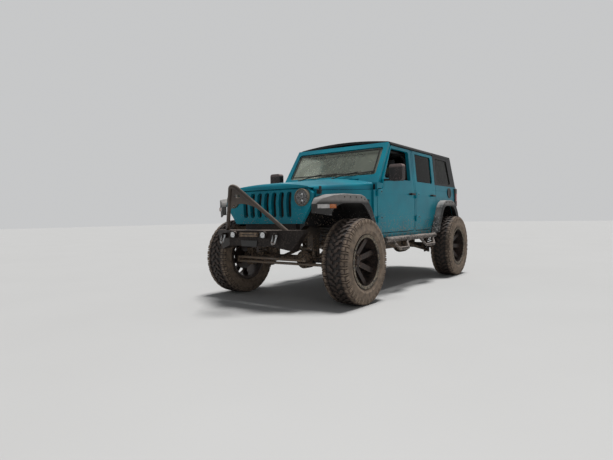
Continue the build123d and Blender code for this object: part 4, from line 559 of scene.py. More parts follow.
class Draft:
    """A mesh being drawn in the row frame, from drawing points in millimetres."""

    def __init__(self) -> None:
        """Start an empty mesh."""
        self.mesh = bmesh.new()

    def _round(self, verts: Sequence[bmesh.types.BMVert], bevel: float) -> None:
        """Bevel every edge between some vertices."""
        if bevel:
            chosen = set(verts)
            edges = [e for e in self.mesh.edges if e.verts[0] in chosen and e.verts[1] in chosen]
            bmesh.ops.bevel(self.mesh, geom=edges, offset=bevel / 1000, segments=2, profile=0.5,
                            affect="EDGES")

    def prism(self, frame: Matrix, outline: Sequence[Flat], depth: float, bevel: float = 0.0,
              taper: float = 1.0) -> None:
        """Extrude an outline of a plane, in millimetres.

        Args:
            frame: Where the plane stands; its z is the way the outline is extruded.
            outline: The outline's points.
            depth: The extrusion's length.
            bevel: The radius of the rounded edges.
            taper: The far end's size as a share of the near end's.
        """
        middle = Vector((sum(p[0] for p in outline), sum(p[1] for p in outline))) / len(outline)
        near = [self.mesh.verts.new(frame @ Vector((u / 1000, v / 1000, 0))) for u, v in outline]
        far = [self.mesh.verts.new(frame @ Vector(((middle.x + (u - middle.x) * taper) / 1000,
                                                   (middle.y + (v - middle.y) * taper) / 1000,
                                                   depth / 1000))) for u, v in outline]
        self.mesh.faces.new(near[::-1])
        self.mesh.faces.new(far)
        for i in range(len(near)):
            j = (i + 1) % len(near)
            self.mesh.faces.new((near[i], near[j], far[j], far[i]))
        self._round(near + far, bevel)

    def block(self, x: Flat, y: Flat, z: Flat, bevel: float = 0.0) -> None:
        """A box between drawing coordinates, its edges rounded."""
        low = at(x[0], y[0], z[0])
        outline = [(0, 0), (x[1] - x[0], 0), (x[1] - x[0], y[1] - y[0]), (0, y[1] - y[0])]
        self.prism(Matrix.Translation(low), outline, z[1] - z[0], bevel)

    def turned(self, frame: Matrix, outline: Sequence[Flat], steps: int = 48,
               closed: bool = False) -> None:
        """Turn an outline of radius and height, in millimetres, round a frame's z axis.

        Args:
            frame: Where the axis stands.
            outline: The radii and heights, from one end to the other.
            steps: How many sections the turn has.
            closed: Whether the outline's last point joins its first, as in a ring.
        """
        rings: list[list[bmesh.types.BMVert]] = []
        for radius, height in outline:
            if radius <= 0:
                rings.append([self.mesh.verts.new(frame @ Vector((0, 0, height / 1000)))] * steps)
                continue
            rings.append([self.mesh.verts.new(
                frame @ Vector((radius * math.cos(k * math.tau / steps) / 1000,
                                radius * math.sin(k * math.tau / steps) / 1000, height / 1000)))
                for k in range(steps)])
        pairs = list(zip(rings, rings[1:]))
        if closed:
            pairs.append((rings[-1], rings[0]))
        for lower, upper in pairs:
            for k in range(steps):
                j = (k + 1) % steps
                corners = []
                for vert in (lower[k], lower[j], upper[j], upper[k]):
                    if vert not in corners:
                        corners.append(vert)
                if len(corners) > 2:
                    self.mesh.faces.new(corners)

    def rod(self, start: Vector, end: Vector, radius: float, sides: int = 16) -> None:
        """A round bar with closed ends between two points."""
        frame = facing(start, end - start)
        length = (end - start).length * 1000
        self.turned(frame, [(0, 0), (radius, 0), (radius, length), (0, length)], sides)

    def pipe(self, path: Sequence[Vector], radius: float, sides: int = 10) -> None:
        """A round tube along a path, its ends closed."""
        rings = []
        for i, point in enumerate(path):
            ahead = path[min(i + 1, len(path) - 1)] - path[max(i - 1, 0)]
            frame = facing(point, ahead)
            rings.append([self.mesh.verts.new(
                frame @ Vector((radius / 1000 * math.cos(k * math.tau / sides),
                                radius / 1000 * math.sin(k * math.tau / sides), 0)))
                for k in range(sides)])
        for lower, upper in zip(rings, rings[1:]):
            shift = min(range(sides), key=lambda s: sum(
                (lower[k].co - upper[(k + s) % sides].co).length for k in range(sides)))
            upper[:] = upper[shift:] + upper[:shift]
            for k in range(sides):
                j = (k + 1) % sides
                self.mesh.faces.new((lower[k], lower[j], upper[j], upper[k]))
        self.mesh.faces.new(rings[0][::-1])
        self.mesh.faces.new(rings[-1])

    def band(self, frame: Matrix, outer: Sequence[Flat], inner: Sequence[Flat],
             depth: float) -> None:
        """A flat ring between two outlines with the same number of points, with a thickness."""
        sets = []
        for outline in (outer, inner):
            for height in (0.0, depth):
                sets.append([self.mesh.verts.new(frame @ Vector((u / 1000, v / 1000, height / 1000)))
                             for u, v in outline])
        outer_low, outer_high, inner_low, inner_high = sets
        for i in range(len(outer)):
            j = (i + 1) % len(outer)
            self.mesh.faces.new((outer_low[i], outer_low[j], outer_high[j], outer_high[i]))
            self.mesh.faces.new((inner_low[j], inner_low[i], inner_high[i], inner_high[j]))
            self.mesh.faces.new((outer_high[i], outer_high[j], inner_high[j], inner_high[i]))
            self.mesh.faces.new((outer_low[j], outer_low[i], inner_low[i], inner_low[j]))

    def finish(self, name: str, finish: Shop, sharp: float = 32.0) -> bpy.types.Object:
        """Close the mesh, turn its faces outwards and make it an object.

        Args:
            name: The piece's name.
            finish: The piece's finish.
            sharp: The angle, in degrees, past which an edge stays sharp.

        Returns:
            The new object, at the origin.
        """
        bmesh.ops.remove_doubles(self.mesh, verts=self.mesh.verts, dist=1e-6)
        bmesh.ops.recalc_face_normals(self.mesh, faces=self.mesh.faces)
        data = bpy.data.meshes.new(name)
        self.mesh.to_mesh(data)
        self.mesh.free()
        data.shade_smooth()
        data.set_sharp_from_angle(angle=math.radians(sharp))
        data.materials.append(finish.material())
        made = bpy.data.objects.new(name, data)
        bpy.context.scene.collection.objects.link(made)
        return made


def facing(origin: Vector, direction: Vector) -> Matrix:
    """A frame at a point whose z runs along a direction.

    Args:
        origin: The frame's place.
        direction: The way its z looks.

    Returns:
        The frame's matrix.
    """
    turn = direction.to_track_quat("Z", "Y").to_matrix().to_4x4()
    return Matrix.Translation(origin) @ turn


def standing(origin: Vector, right: Vector, outwards: Vector) -> Matrix:
    """A frame at a point from its x and its z axis."""
    z = outwards.normalized()
    x = (right - z * right.dot(z)).normalized()
    y = z.cross(x)
    made = Matrix((x, y, z)).transposed().to_4x4()
    made.translation = origin
    return made


def joined(name: str, parts: Sequence[bpy.types.Object]) -> bpy.types.Object:
    """One object of several meshes, which keeps each part's material.

    Args:
        name: The joined piece's name.
        parts: The meshes to join.

    Returns:
        The joined object.
    """
    with bpy.context.temp_override(active_object=parts[0], object=parts[0],
                                   selected_editable_objects=list(parts),
                                   selected_objects=list(parts)):
        bpy.ops.object.join()
    parts[0].name = name
    parts[0].data.name = name
    return parts[0]


class Placer:
    """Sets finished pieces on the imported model's bodies and reports them."""

    def set(self, piece: bpy.types.Object, body: str, slot: str,
            replaces: Iterable[str] = ()) -> bpy.types.Object:
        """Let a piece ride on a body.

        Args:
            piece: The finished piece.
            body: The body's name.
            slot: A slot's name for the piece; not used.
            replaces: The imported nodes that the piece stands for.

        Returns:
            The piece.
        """
        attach(piece, body)
        names = list(replaces)
        if names:
            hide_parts(*names)
        LOG.info("%s rides on %s: %d faces", piece.name, body, len(piece.data.polygons))
        return piece

    def dress(self, finish: Shop, *nodes: str) -> None:
        """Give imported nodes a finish."""
        for name in nodes:
            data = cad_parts[name].data
            data.materials.clear()
            data.materials.append(finish.material())
            LOG.info("%s wears %s", name, finish.name.lower())


class Scatter:
    """A geometry nodes tree that sets copies of one shape on a host's points."""

    def __init__(self, name: str) -> None:
        """Start the tree with its geometry sockets.

        Args:
            name: The tree's name.
        """
        self.tree = bpy.data.node_groups.new(name, "GeometryNodeTree")
        face = self.tree.interface
        face.new_socket("Geometry", in_out="INPUT", socket_type="NodeSocketGeometry")
        face.new_socket("Geometry", in_out="OUTPUT", socket_type="NodeSocketGeometry")
        self.sockets: dict[str, str] = {}
        self.entry = self.tree.nodes.new("NodeGroupInput")
        self.exit = self.tree.nodes.new("NodeGroupOutput")

    def size(self, name: str, kind: str = "NodeSocketFloat") -> None:
        """Add a named input for a size or a material."""
        made = self.tree.interface.new_socket(name, in_out="INPUT", socket_type=kind)
        self.sockets[name] = made.identifier

    def node(self, kind: str, **settings: object) -> bpy.types.Node:
        """Add a node to the tree."""
        made = self.tree.nodes.new(kind)
        for name, value in settings.items():
            setattr(made, name, value)
        return made

    def link(self, source: bpy.types.NodeSocket, target: bpy.types.NodeSocket) -> None:
        """Join two sockets."""
        self.tree.links.new(source, target)

    def close(self, source: bpy.types.NodeSocket) -> None:
        """End the tree with real geometry in the material that is given."""
        real = self.node("GeometryNodeRealizeInstances")
        dress = self.node("GeometryNodeSetMaterial")
        self.link(source, real.inputs[0])
        self.link(real.outputs[0], dress.inputs["Geometry"])
        self.link(self.entry.outputs["Material"], dress.inputs["Material"])
        self.link(dress.outputs[0], self.exit.inputs[0])

    def grow(self, host: bpy.types.Object, **values: object) -> bpy.types.Object:
        """Run the tree on a host and keep its result as a plain mesh.

        Args:
            host: The object whose mesh feeds the tree.
            **values: The tree's inputs, with underscores for spaces.

        Returns:
            The host with its new mesh and no modifier.
        """
        modifier = host.modifiers.new("grow", "NODES")
        modifier.node_group = self.tree
        for name, value in values.items():
            modifier[self.sockets[name.replace("_", " ")]] = value
        bpy.context.view_layer.update()
        graph = bpy.context.evaluated_depsgraph_get()
        data = bpy.data.meshes.new_from_object(host.evaluated_get(graph))
        host.modifiers.clear()
        old = host.data
        host.data = data
        data.name = host.name
        bpy.data.meshes.remove(old)
        return host


class BoltTree(Scatter):
    """Hexagon heads on washers, on points that look along their normals."""

    def __init__(self) -> None:
        """Build the tree."""
        super().__init__("bolt_heads")
        self.size("Head Radius")
        self.size("Head Height")
        self.size("Material", "NodeSocketMaterial")
        head = self.node("GeometryNodeMeshCylinder")
        head.inputs["Vertices"].default_value = 6
        washer = self.node("GeometryNodeMeshCylinder")
        washer.inputs["Vertices"].default_value = 16
        self.link(self.entry.outputs["Head Radius"], head.inputs["Radius"])
        self.link(self.entry.outputs["Head Height"], head.inputs["Depth"])
        wide = self.node("ShaderNodeMath", operation="MULTIPLY")
        wide.inputs[1].default_value = 1.45
        thin = self.node("ShaderNodeMath", operation="MULTIPLY")
        thin.inputs[1].default_value = 0.35
        half = self.node("ShaderNodeMath", operation="MULTIPLY")
        half.inputs[1].default_value = 0.6
        self.link(self.entry.outputs["Head Radius"], wide.inputs[0])
        self.link(self.entry.outputs["Head Height"], thin.inputs[0])
        self.link(self.entry.outputs["Head Height"], half.inputs[0])
        self.link(wide.outputs[0], washer.inputs["Radius"])
        self.link(thin.outputs[0], washer.inputs["Depth"])
        lift = self.node("ShaderNodeCombineXYZ")
        self.link(half.outputs[0], lift.inputs[2])
        raised = self.node("GeometryNodeTransform")
        self.link(head.outputs[0], raised.inputs["Geometry"])
        self.link(lift.outputs[0], raised.inputs["Translation"])
        both = self.node("GeometryNodeJoinGeometry")
        self.link(raised.outputs[0], both.inputs[0])
        self.link(washer.outputs[0], both.inputs[0])
        facing_node = self.node("GeometryNodeInputNamedAttribute", data_type="FLOAT_VECTOR")
        facing_node.inputs["Name"].default_value = "look"
        turn = self.node("FunctionNodeAlignEulerToVector", axis="Z")
        self.link(facing_node.outputs[0], turn.inputs["Vector"])
        copies = self.node("GeometryNodeInstanceOnPoints")
        self.link(self.entry.outputs["Geometry"], copies.inputs["Points"])
        self.link(both.outputs[0], copies.inputs["Instance"])
        self.link(turn.outputs[0], copies.inputs["Rotation"])
        self.close(copies.outputs[0])


class RingTree(Scatter):
    """Copies of the host's own mesh turned round its z axis."""

    def __init__(self) -> None:
        """Build the tree."""
        super().__init__("ring_of_copies")
        self.size("Count", "NodeSocketInt")
        self.size("Material", "NodeSocketMaterial")
        line = self.node("GeometryNodeMeshLine")
        line.inputs["Offset"].default_value = (0.0, 0.0, 0.0)
        self.link(self.entry.outputs["Count"], line.inputs["Count"])
        index = self.node("GeometryNodeInputIndex")
        share = self.node("ShaderNodeMath", operation="DIVIDE")
        self.link(index.outputs[0], share.inputs[0])
        self.link(self.entry.outputs["Count"], share.inputs[1])
        angle = self.node("ShaderNodeMath", operation="MULTIPLY")
        angle.inputs[1].default_value = math.tau
        self.link(share.outputs[0], angle.inputs[0])
        turn = self.node("ShaderNodeCombineXYZ")
        self.link(angle.outputs[0], turn.inputs[2])
        copies = self.node("GeometryNodeInstanceOnPoints")
        self.link(line.outputs[0], copies.inputs["Points"])
        self.link(self.entry.outputs["Geometry"], copies.inputs["Instance"])
        self.link(turn.outputs[0], copies.inputs["Rotation"])
        self.close(copies.outputs[0])


class RowTree(Scatter):
    """Copies of the host's own mesh along a straight row."""

    def __init__(self) -> None:
        """Build the tree."""
        super().__init__("row_of_copies")
        self.size("Count", "NodeSocketInt")
        self.size("Pitch", "NodeSocketVector")
        self.size("Material", "NodeSocketMaterial")
        line = self.node("GeometryNodeMeshLine")
        self.link(self.entry.outputs["Count"], line.inputs["Count"])
        self.link(self.entry.outputs["Pitch"], line.inputs["Offset"])
        copies = self.node("GeometryNodeInstanceOnPoints")
        self.link(line.outputs[0], copies.inputs["Points"])
        self.link(self.entry.outputs["Geometry"], copies.inputs["Instance"])
        self.close(copies.outputs[0])


class CoilTree(Scatter):
    """A round wire wound into a spring along its z axis."""

    def __init__(self) -> None:
        """Build the tree."""
        super().__init__("spring_coil")
        for name in ("Turns", "Coil Radius", "Height", "Wire Radius"):
            self.size(name)
        self.size("Material", "NodeSocketMaterial")
        coil = self.node("GeometryNodeCurveSpiral")
        coil.inputs["Resolution"].default_value = 28
        self.link(self.entry.outputs["Turns"], coil.inputs["Rotations"])
        self.link(self.entry.outputs["Coil Radius"], coil.inputs["Start Radius"])
        self.link(self.entry.outputs["Coil Radius"], coil.inputs["End Radius"])
        self.link(self.entry.outputs["Height"], coil.inputs["Height"])
        wire = self.node("GeometryNodeCurvePrimitiveCircle")
        wire.inputs["Resolution"].default_value = 10
        self.link(self.entry.outputs["Wire Radius"], wire.inputs["Radius"])
        tube = self.node("GeometryNodeCurveToMesh")
        tube.inputs["Fill Caps"].default_value = True
        self.link(coil.outputs[0], tube.inputs["Curve"])
        self.link(wire.outputs[0], tube.inputs["Profile Curve"])
        self.close(tube.outputs[0])


@dataclass
class Trees:
    """The geometry nodes trees, built once."""

    bolts: BoltTree
    ring: RingTree
    row: RowTree
    coil: CoilTree

    def bolted(self, name: str, spots: Sequence[tuple[Vector, Vector]], radius: float,
               height: float, finish: Shop = Shop.BOLT) -> bpy.types.Object:
        """Bolt heads at places, each with the way it looks.

        Args:
            name: The piece's name.
            spots: The places and directions.
            radius: A head's radius in millimetres.
            height: A head's height in millimetres.
            finish: The bolts' finish.

        Returns:
            The piece, as a plain mesh.
        """
        data = bpy.data.meshes.new(name)
        data.from_pydata([tuple(p) for p, _ in spots], [], [])
        look = data.attributes.new("look", "FLOAT_VECTOR", "POINT")
        look.data.foreach_set("vector", [c for _, d in spots for c in d.normalized()])
        host = bpy.data.objects.new(name, data)
        bpy.context.scene.collection.objects.link(host)
        return self.bolts.grow(host, Head_Radius=radius / 1000, Head_Height=height / 1000,
                               Material=finish.material())


@dataclass
class Tyre:
    """A mud tyre: a turned carcass, hooked centre lugs and shoulder lugs that run down the wall."""

    pitches: int = 38
    outer: float = 470.0
    base: float = 452.0
    bead: float = 279.5

    def carcass(self) -> list[Flat]:
        """The closed section, as radius and distance along the axle."""
        wall = [(self.base, 0), (self.base, 90), (self.base - 4, 118), (440, 134), (424, 143),
                (404, 150), (380, 154), (350, 153), (344, 156), (336, 156), (331, 151),
                (312, 143), (301, 136), (297, 131), (286, 130), (279.5, 127), (279.5, 106),
                (300, 112), (340, 128), (380, 134), (420, 124), (432, 100), (434, 0)]
        return wall + [(r, -w) for r, w in reversed(wall[1:-1])]

    def lug(self, draft: Draft, outline: Sequence[Flat], top: float, floor: float) -> None:
        """A lug of the tread, from pitch shares round the tyre and millimetres across it.

        Args:
            draft: The mesh that takes the lug.
            outline: Its corners as share of the pitch and distance across.
            top: The radius of its top.
            floor: The radius of its foot.
        """
        step = math.tau / self.pitches
        centre = Vector((sum(p[0] for p in outline), sum(p[1] for p in outline))) / len(outline)
        rings = []
        for radius, spread in ((floor, 1.06), (top - 2.5, 1.0), (top, 0.9)):
            ring = []
            for share, across in outline:
                u = (centre.x + (share - centre.x) * spread) * step
                v = centre.y + (across - centre.y) * spread
                crown = radius - 10.0 * (abs(v) / 139.0) ** 3.0
                ring.append(draft.mesh.verts.new((crown * math.cos(u) / 1000,
                                                  crown * math.sin(u) / 1000, v / 1000)))
            rings.append(ring)
        for lower, upper in zip(rings, rings[1:]):
            for i in range(len(outline)):
                j = (i + 1) % len(outline)
                draft.mesh.faces.new((lower[i], lower[j], upper[j], upper[i]))
        draft.mesh.faces.new(rings[-1])
        draft.mesh.faces.new(rings[0][::-1])

    def biter(self, draft: Draft, start: float, end: float, side: float, foot: float,
              stand: float) -> None:
        """A shoulder lug's run down the wall.

        Args:
            draft: The mesh that takes the lug.
            start: Its first edge as a share of the pitch.
            end: Its last edge as a share of the pitch.
            side: 1 or -1 for the wall it is on.
            foot: The radius where it ends.
            stand: How far it stands proud of the wall.
        """
        step = math.tau / self.pitches
        rows = []
        for radius, wide in ((463.0, 135.0), (448.0, 147.0), (430.0, 152.0), (412.0, 156.0),
                             (foot, 156.0)):
            proud = stand if radius > foot else 0.5
            row = []
            for share, out in ((start, 0.0), (start + 0.04, proud), (end - 0.04, proud),
                               (end, 0.0)):
                angle = share * step
                wide_here = side * (min(wide, 158.5 - stand) - 6 + out + (0 if out else -6))
                row.append(draft.mesh.verts.new((radius * math.cos(angle) / 1000,
                                                 radius * math.sin(angle) / 1000,
                                                 wide_here / 1000)))
            rows.append(row)
        for lower, upper in zip(rows, rows[1:]):
            for i in range(3):
                draft.mesh.faces.new((lower[i], lower[i + 1], upper[i + 1], upper[i]))
            draft.mesh.faces.new((lower[3], lower[0], upper[0], upper[3]))
        draft.mesh.faces.new(rows[0])
        draft.mesh.faces.new(rows[-1])

    def pitch(self, name: str) -> bpy.types.Object:
        """One pitch of the tread, round the axle's first step."""
        draft = Draft()
        hook = [(0.04, -64), (0.3, -74), (0.44, -48), (0.78, -40), (0.9, -6), (0.5, -4),
                (0.4, -26), (0.1, -34)]
        self.lug(draft, hook, self.outer, self.base - 2)
        self.lug(draft, [(s + 0.5, -v) for s, v in hook], self.outer, self.base - 2)
        wide = [(0.06, -84), (0.46, -80), (0.6, -104), (0.6, -134), (0.04, -134), (0.04, -106)]
        short = [(0.68, -80), (0.94, -88), (0.96, -130), (0.7, -130)]
        for outline in (wide, short):
            self.lug(draft, outline, self.outer, self.base - 8)
            self.lug(draft, [(s + 0.5, -v) for s, v in outline], self.outer, self.base - 8)
        for side, shift in ((-1.0, 0.0), (1.0, 0.5)):
            self.biter(draft, 0.04 + shift, 0.6 + shift, side, 396.0, 7.5)
            self.biter(draft, 0.7 + shift, 0.94 + shift, side, 408.0, 5.5)
        return draft.finish(name, Shop.TYRE, sharp=28.0)

    def build(self, name: str, ring: RingTree, frame: Matrix) -> bpy.types.Object:
        """The whole tyre at a wheel's place.

        Args:
            name: The piece's name.
            ring: The tree that turns the pitch round the axle.
            frame: The wheel's frame, its z outwards.

        Returns:
            The tyre.
        """
        tread = ring.grow(self.pitch(f"{name}_tread"), Count=self.pitches,
                          Material=Shop.TYRE.material())
        draft = Draft()
        draft.turned(Matrix.Identity(4), self.carcass(), 96, closed=True)
        body = draft.finish(f"{name}_carcass", Shop.TYRE, sharp=40.0)
        tyre = joined(name, [body, tread])
        self.store_dust_and_gap_shade(tyre)
        tyre.data.transform(frame)
        return tyre

    def store_dust_and_gap_shade(self, tyre: bpy.types.Object) -> None:
        """Store how much dust each point of the tyre keeps, from its place in the section, with near
        zero in the tread's gaps as painted shade.
        """
        data = tyre.data
        dust_and_gap_shade = data.attributes.new("dust_and_gap_shade", "FLOAT", "POINT")
        values = []
        for vertex in data.vertices:
            radius = math.hypot(vertex.co.x, vertex.co.y) * 1000
            across = abs(vertex.co.z) * 1000
            # Gaps between the lugs: near zero, painted shade; the lug walls grade from here up to
            # their tops.
            if across < 132 and radius < 458:
                values.append(0.05)
            elif across < 96:
                values.append(0.5)
            elif across < 136:
                values.append(1.3)
            elif radius > 400 and across < 145:
                values.append(0.5)
            else:
                values.append(1.6)
        dust_and_gap_shade.data.foreach_set("value", values)


@dataclass
class Wheels:
    """The four road wheels and the spare: tyres, lug nuts, rim bolts, caps and valves."""

    trees: Trees
    placer: Placer
    track_half: float = 863.0
    axle_z: float = 470.0
    wheelbase: float = 3008.0
    spare: Point = (0.0, 3787.0, 1216.0)

    def frames(self) -> dict[str, tuple[Matrix, str]]:
        """Each wheel's frame, its z outwards, and the body that it rides on."""
        made = {}
        for side, sign in SIDES.items():
            for end, station in (("front", 0.0), ("rear", self.wheelbase)):
                hub = at(sign * self.track_half, station, self.axle_z)
                frame = standing(hub, Vector((0, 1, 0)), Vector((sign, 0, 0)))
                made[f"{end}_{side}"] = (frame, f"wheel_{end}_{side}")
        made["spare"] = (standing(at(*self.spare), Vector((1, 0, 0)), Vector((0, 1, 0))),
                         "tailgate")
        return made

    def bolts(self, name: str, frame: Matrix) -> bpy.types.Object:
        """Lug nuts round the hub and small bolts round the rim's lip."""
        axis = frame.to_3x3() @ Vector((0, 0, 1))
        nuts, rim = [], []
        for k in range(5):
            angle = k * math.tau / 5 + 0.3
            place = Vector((0.0635 * math.cos(angle), 0.0635 * math.sin(angle), 0.006))
            nuts.append((frame @ place, axis))
        for k in range(24):
            angle = k * math.tau / 24
            place = Vector((0.281 * math.cos(angle), 0.281 * math.sin(angle), 0.144))
            rim.append((frame @ place, axis))
        first = self.trees.bolted(f"{name}_nuts", nuts, 10.5, 20.0, Shop.STEEL)
        second = self.trees.bolted(f"{name}_rim", rim, 4.2, 4.0, Shop.BOLT)
        return joined(name, [first, second])

    def lip(self, name: str, frame: Matrix) -> bpy.types.Object:
        """The rim's rounded outer lip, pale with dust."""
        draft = Draft()
        draft.turned(frame, [(262, 132), (262, 139), (266, 143), (290, 144), (294, 141), (294, 138),
                             (271, 138), (270, 132)], 72, closed=True)
        return draft.finish(name, Shop.LIP)

    def cap(self, name: str, frame: Matrix) -> bpy.types.Object:
        """The plain hub cap and the valve."""
        draft = Draft()
        draft.turned(frame, [(0, 40), (30, 39), (42, 34), (46, 27), (46, 22), (0, 22)], 32)
        stem = frame @ Vector((0.262, 0.02, 0.118))
        draft.rod(stem, stem + frame.to_3x3() @ Vector((-0.006, 0, 0.03)), 4.0, 10)
        return draft.finish(name, Shop.RIM)

    def build(self) -> None:
        """Make every wheel's pieces and set them on their bodies."""
        tyre = Tyre()
        for label, (frame, body) in self.frames().items():
            piece = tyre.build(f"tread_tyre_{label}", self.trees.ring, frame)
            self.placer.set(piece, body, "tyre", [f"tyre_{label}"])
            self.placer.set(self.cap(f"hub_cap_{label}", frame), body, "rim_grey")
            self.placer.set(self.lip(f"rim_lip_{label}", frame), body, "rim_grey")
            if label != "spare":
                self.placer.set(self.bolts(f"wheel_bolts_{label}", frame), body, "rim_grey")
        self.placer.dress(Shop.RIM, *[f"rim_{label}" for label in self.frames()])


@dataclass
class Lamps:
    """Headlamps, marker lamps, bumper lamps and tail lamps, each behind its own lens."""

    trees: Trees
    placer: Placer
    head: Point = (505.0, -494.0, 1167.0)

    def headlamp(self, sign: float) -> list[bpy.types.Object]:
        """A round lamp: bezel, stepped bowl, two projectors and a domed glass."""
        x, y, z = self.head
        frame = standing(at(sign * x, y, z), Vector((1, 0, 0)), Vector((0, -1, 0)))
        ring = Draft()
        ring.turned(frame, [(92, -58), (92, 2), (88, 7), (83, 7), (80, 2), (80, -20), (84, -58)],
                    56, closed=True)
        bowl = Draft()
        bowl.turned(frame, [(80, -6), (72, -22), (64, -24), (60, -36), (44, -40), (40, -46),
                            (0, -48)], 56)
        inner = Draft()
        for u, v in ((0, 30), (0, -30)):
            spot = frame @ Matrix.Translation(Vector((u / 1000, v / 1000, -0.044)))
            inner.turned(spot, [(26, 0), (26, 16), (23, 18), (20, 12), (0, 12)], 32)
        bar = [(-62, -7), (62, -7), (62, 7), (-62, 7)]
        inner.prism(frame @ Matrix.Translation(Vector((0, 0, -0.036))), bar, 12, bevel=2)
        glass = Draft()
        glass.turned(frame, [(80, -2), (78, 2), (60, 8), (32, 12), (0, 13.5)], 56)
        glass.turned(frame, [(80, -5), (78, -1), (60, 5), (32, 9), (0, 10.5)], 56)
        bright = Draft()
        for u, v in ((0, 30), (0, -30)):
            spot = frame @ Matrix.Translation(Vector((u / 1000, v / 1000, -0.044)))
            bright.turned(spot, [(19, 15), (16, 22), (9, 26), (0, 27)], 32)
        return [ring.finish("ring", Shop.LIP), bowl.finish("bowl", Shop.BOWL, 12),
                inner.finish("inner", Shop.LAMP_BLACK), bright.finish("bright", Shop.CHROME),
                glass.finish("glass", Shop.LENS)]

    def marker(self, sign: float) -> list[bpy.types.Object]:
        """The long lamp in the flare's face: a white strip with an amber end, in a dark frame."""
        frame = standing(at(sign * 776.3, -422.7, 1068), Vector((0.805, sign * 0.593, 0)),
                         Vector((sign * 0.593, -0.805, 0)))
        hull = Draft()
        outline = rounded([(-105, -29), (105, -29), (105, 29), (-105, 29)], 8, 3)
        inside = rounded([(-100, -24), (100, -24), (100, 24), (-100, 24)], 5, 3)
        hull.band(frame, outline, inside, 11)
        hull.prism(frame, inside, 2)
        white = Draft()
        split = 28.0 if sign > 0 else -28.0
        low, high = (-99, split) if sign > 0 else (split, 99)
        white.prism(frame @ Matrix.Translation(Vector((0, 0, 0.002))),
                    [(low, -23), (high, -23), (high, 23), (low, 23)], 7, bevel=1.5)
        amber = Draft()
        low, high = (split + 1, 99) if sign > 0 else (-99, split - 1)
        amber.prism(frame @ Matrix.Translation(Vector((0, 0, 0.002))),
                    [(low, -23), (high, -23), (high, 23), (low, 23)], 8, bevel=1.5)
        return [hull.finish("hull", Shop.TRIM), white.finish("white", Shop.PEARL),
                amber.finish("amber", Shop.AMBER)]

    def pod(self, sign: float) -> list[bpy.types.Object]:
        """A square bumper lamp with a chrome bowl and clear glass."""
        frame = standing(at(sign * 216, -788, 779), Vector((1, 0, 0)), Vector((0, -1, 0)))
        shell = Draft()
        outline = [(-36, -34), (36, -34), (40, -28), (40, 28), (36, 34), (-36, 34), (-40, 28),
                   (-40, -28)]
        inside = [(u * 0.84, v * 0.84) for u, v in outline]
        shell.band(frame @ Matrix.Translation(Vector((0, 0, -0.004))), outline, inside, 12)
        shell.prism(frame @ Matrix.Translation(Vector((0, 0, -0.005))), outline, 3)
        bowl = Draft()
        bowl.turned(frame, [(30, 2), (22, -1), (10, -2), (0, 4)], 28)
        glass = Draft()
        glass.prism(frame @ Matrix.Translation(Vector((0, 0, 0.004))), inside, 3)
        return [shell.finish("shell", Shop.TRIM), bowl.finish("bowl", Shop.CHROME),
                glass.finish("glass", Shop.LENS)]

    def tail(self, sign: float) -> list[bpy.types.Object]:
        """A tail lamp: black housing, a red frame of light and a clear middle."""
        x = sign * 737.0
        hull = Draft()
        low, high = sorted((sign * 668.0, sign * 806.0))
        hull.block((low, high), (3448, 3548), (1104, 1404), bevel=8)
        frame = standing(at(x, 3548, 1254), Vector((-1, 0, 0)), Vector((0, 1, 0)))
        outline = [(-62, -144), (62, -144), (62, 144), (-62, 144)]
        inside = [(-38, -112), (38, -112), (38, 112), (-38, 112)]
        red = Draft()
        red.band(frame, outline, inside, 24)
        red.prism(frame @ Matrix.Translation(Vector((0, -0.07, 0.0))),
                  [(-36, -30), (36, -30), (36, 30), (-36, 30)], 16, bevel=4)
        white = Draft()
        white.prism(frame @ Matrix.Translation(Vector((0, 0.035, 0.0))),
                    [(-36, -66), (36, -66), (36, 72), (-36, 72)], 12, bevel=4)
        side = Draft()
        edge = sorted((sign * 800.0, sign * 811.0))
        side.block(edge, (3472, 3538), (1190, 1320), bevel=3)
        return [hull.finish("hull", Shop.TRIM), red.finish("red", Shop.RED),
                white.finish("white", Shop.PEARL), side.finish("side", Shop.RED)]

    def build(self) -> None:
        """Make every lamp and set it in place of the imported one."""
        for side, sign in SIDES.items():
            front = joined(f"headlamp_{side}", self.headlamp(sign))
            self.placer.set(front, "body", "lamp_glass", ["front_lamps"])
            mark = joined(f"marker_lamp_{side}", self.marker(sign))
            self.placer.set(mark, "body", "lamp_glass", ["front_lamps"])
            self.placer.set(joined(f"bumper_lamp_{side}", self.pod(sign)), "body", "lamp_glass")
            tail = joined(f"tail_lamp_{side}", self.tail(sign))
            self.placer.set(tail, "body", "tail_lamp_red", ["tail_lamps"])


@dataclass
class Springs:
    """The four coil springs, wound between their seats."""

    trees: Trees
    placer: Placer
    front: tuple[float, ...] = (480.0, 0.0, 529.0, 824.0, 60.0)
    rear: tuple[float, ...] = (545.0, 3008.0, 519.0, 792.0, 58.0)

    def build(self) -> None:
        """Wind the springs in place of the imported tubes."""
        parts = []
        wire = 7.5
        for x, y, foot, top, outer in (self.front, self.rear):
            for sign in SIDES.values():
                data = bpy.data.meshes.new("coil")
                host = bpy.data.objects.new("coil", data)
                bpy.context.scene.collection.objects.link(host)
                self.trees.coil.grow(host, Turns=6.5, Coil_Radius=(outer - wire) / 1000,
                                     Height=(top - foot - 2 * wire) / 1000,
                                     Wire_Radius=wire / 1000, Material=Shop.CHASSIS.material())
                host.data.transform(Matrix.Translation(at(sign * x, y, foot + wire)))
                host.data.shade_smooth()
                parts.append(host)
        self.placer.set(joined("coil_spring_set", parts), "body", "spring_paint",
                        ["coil_springs"])


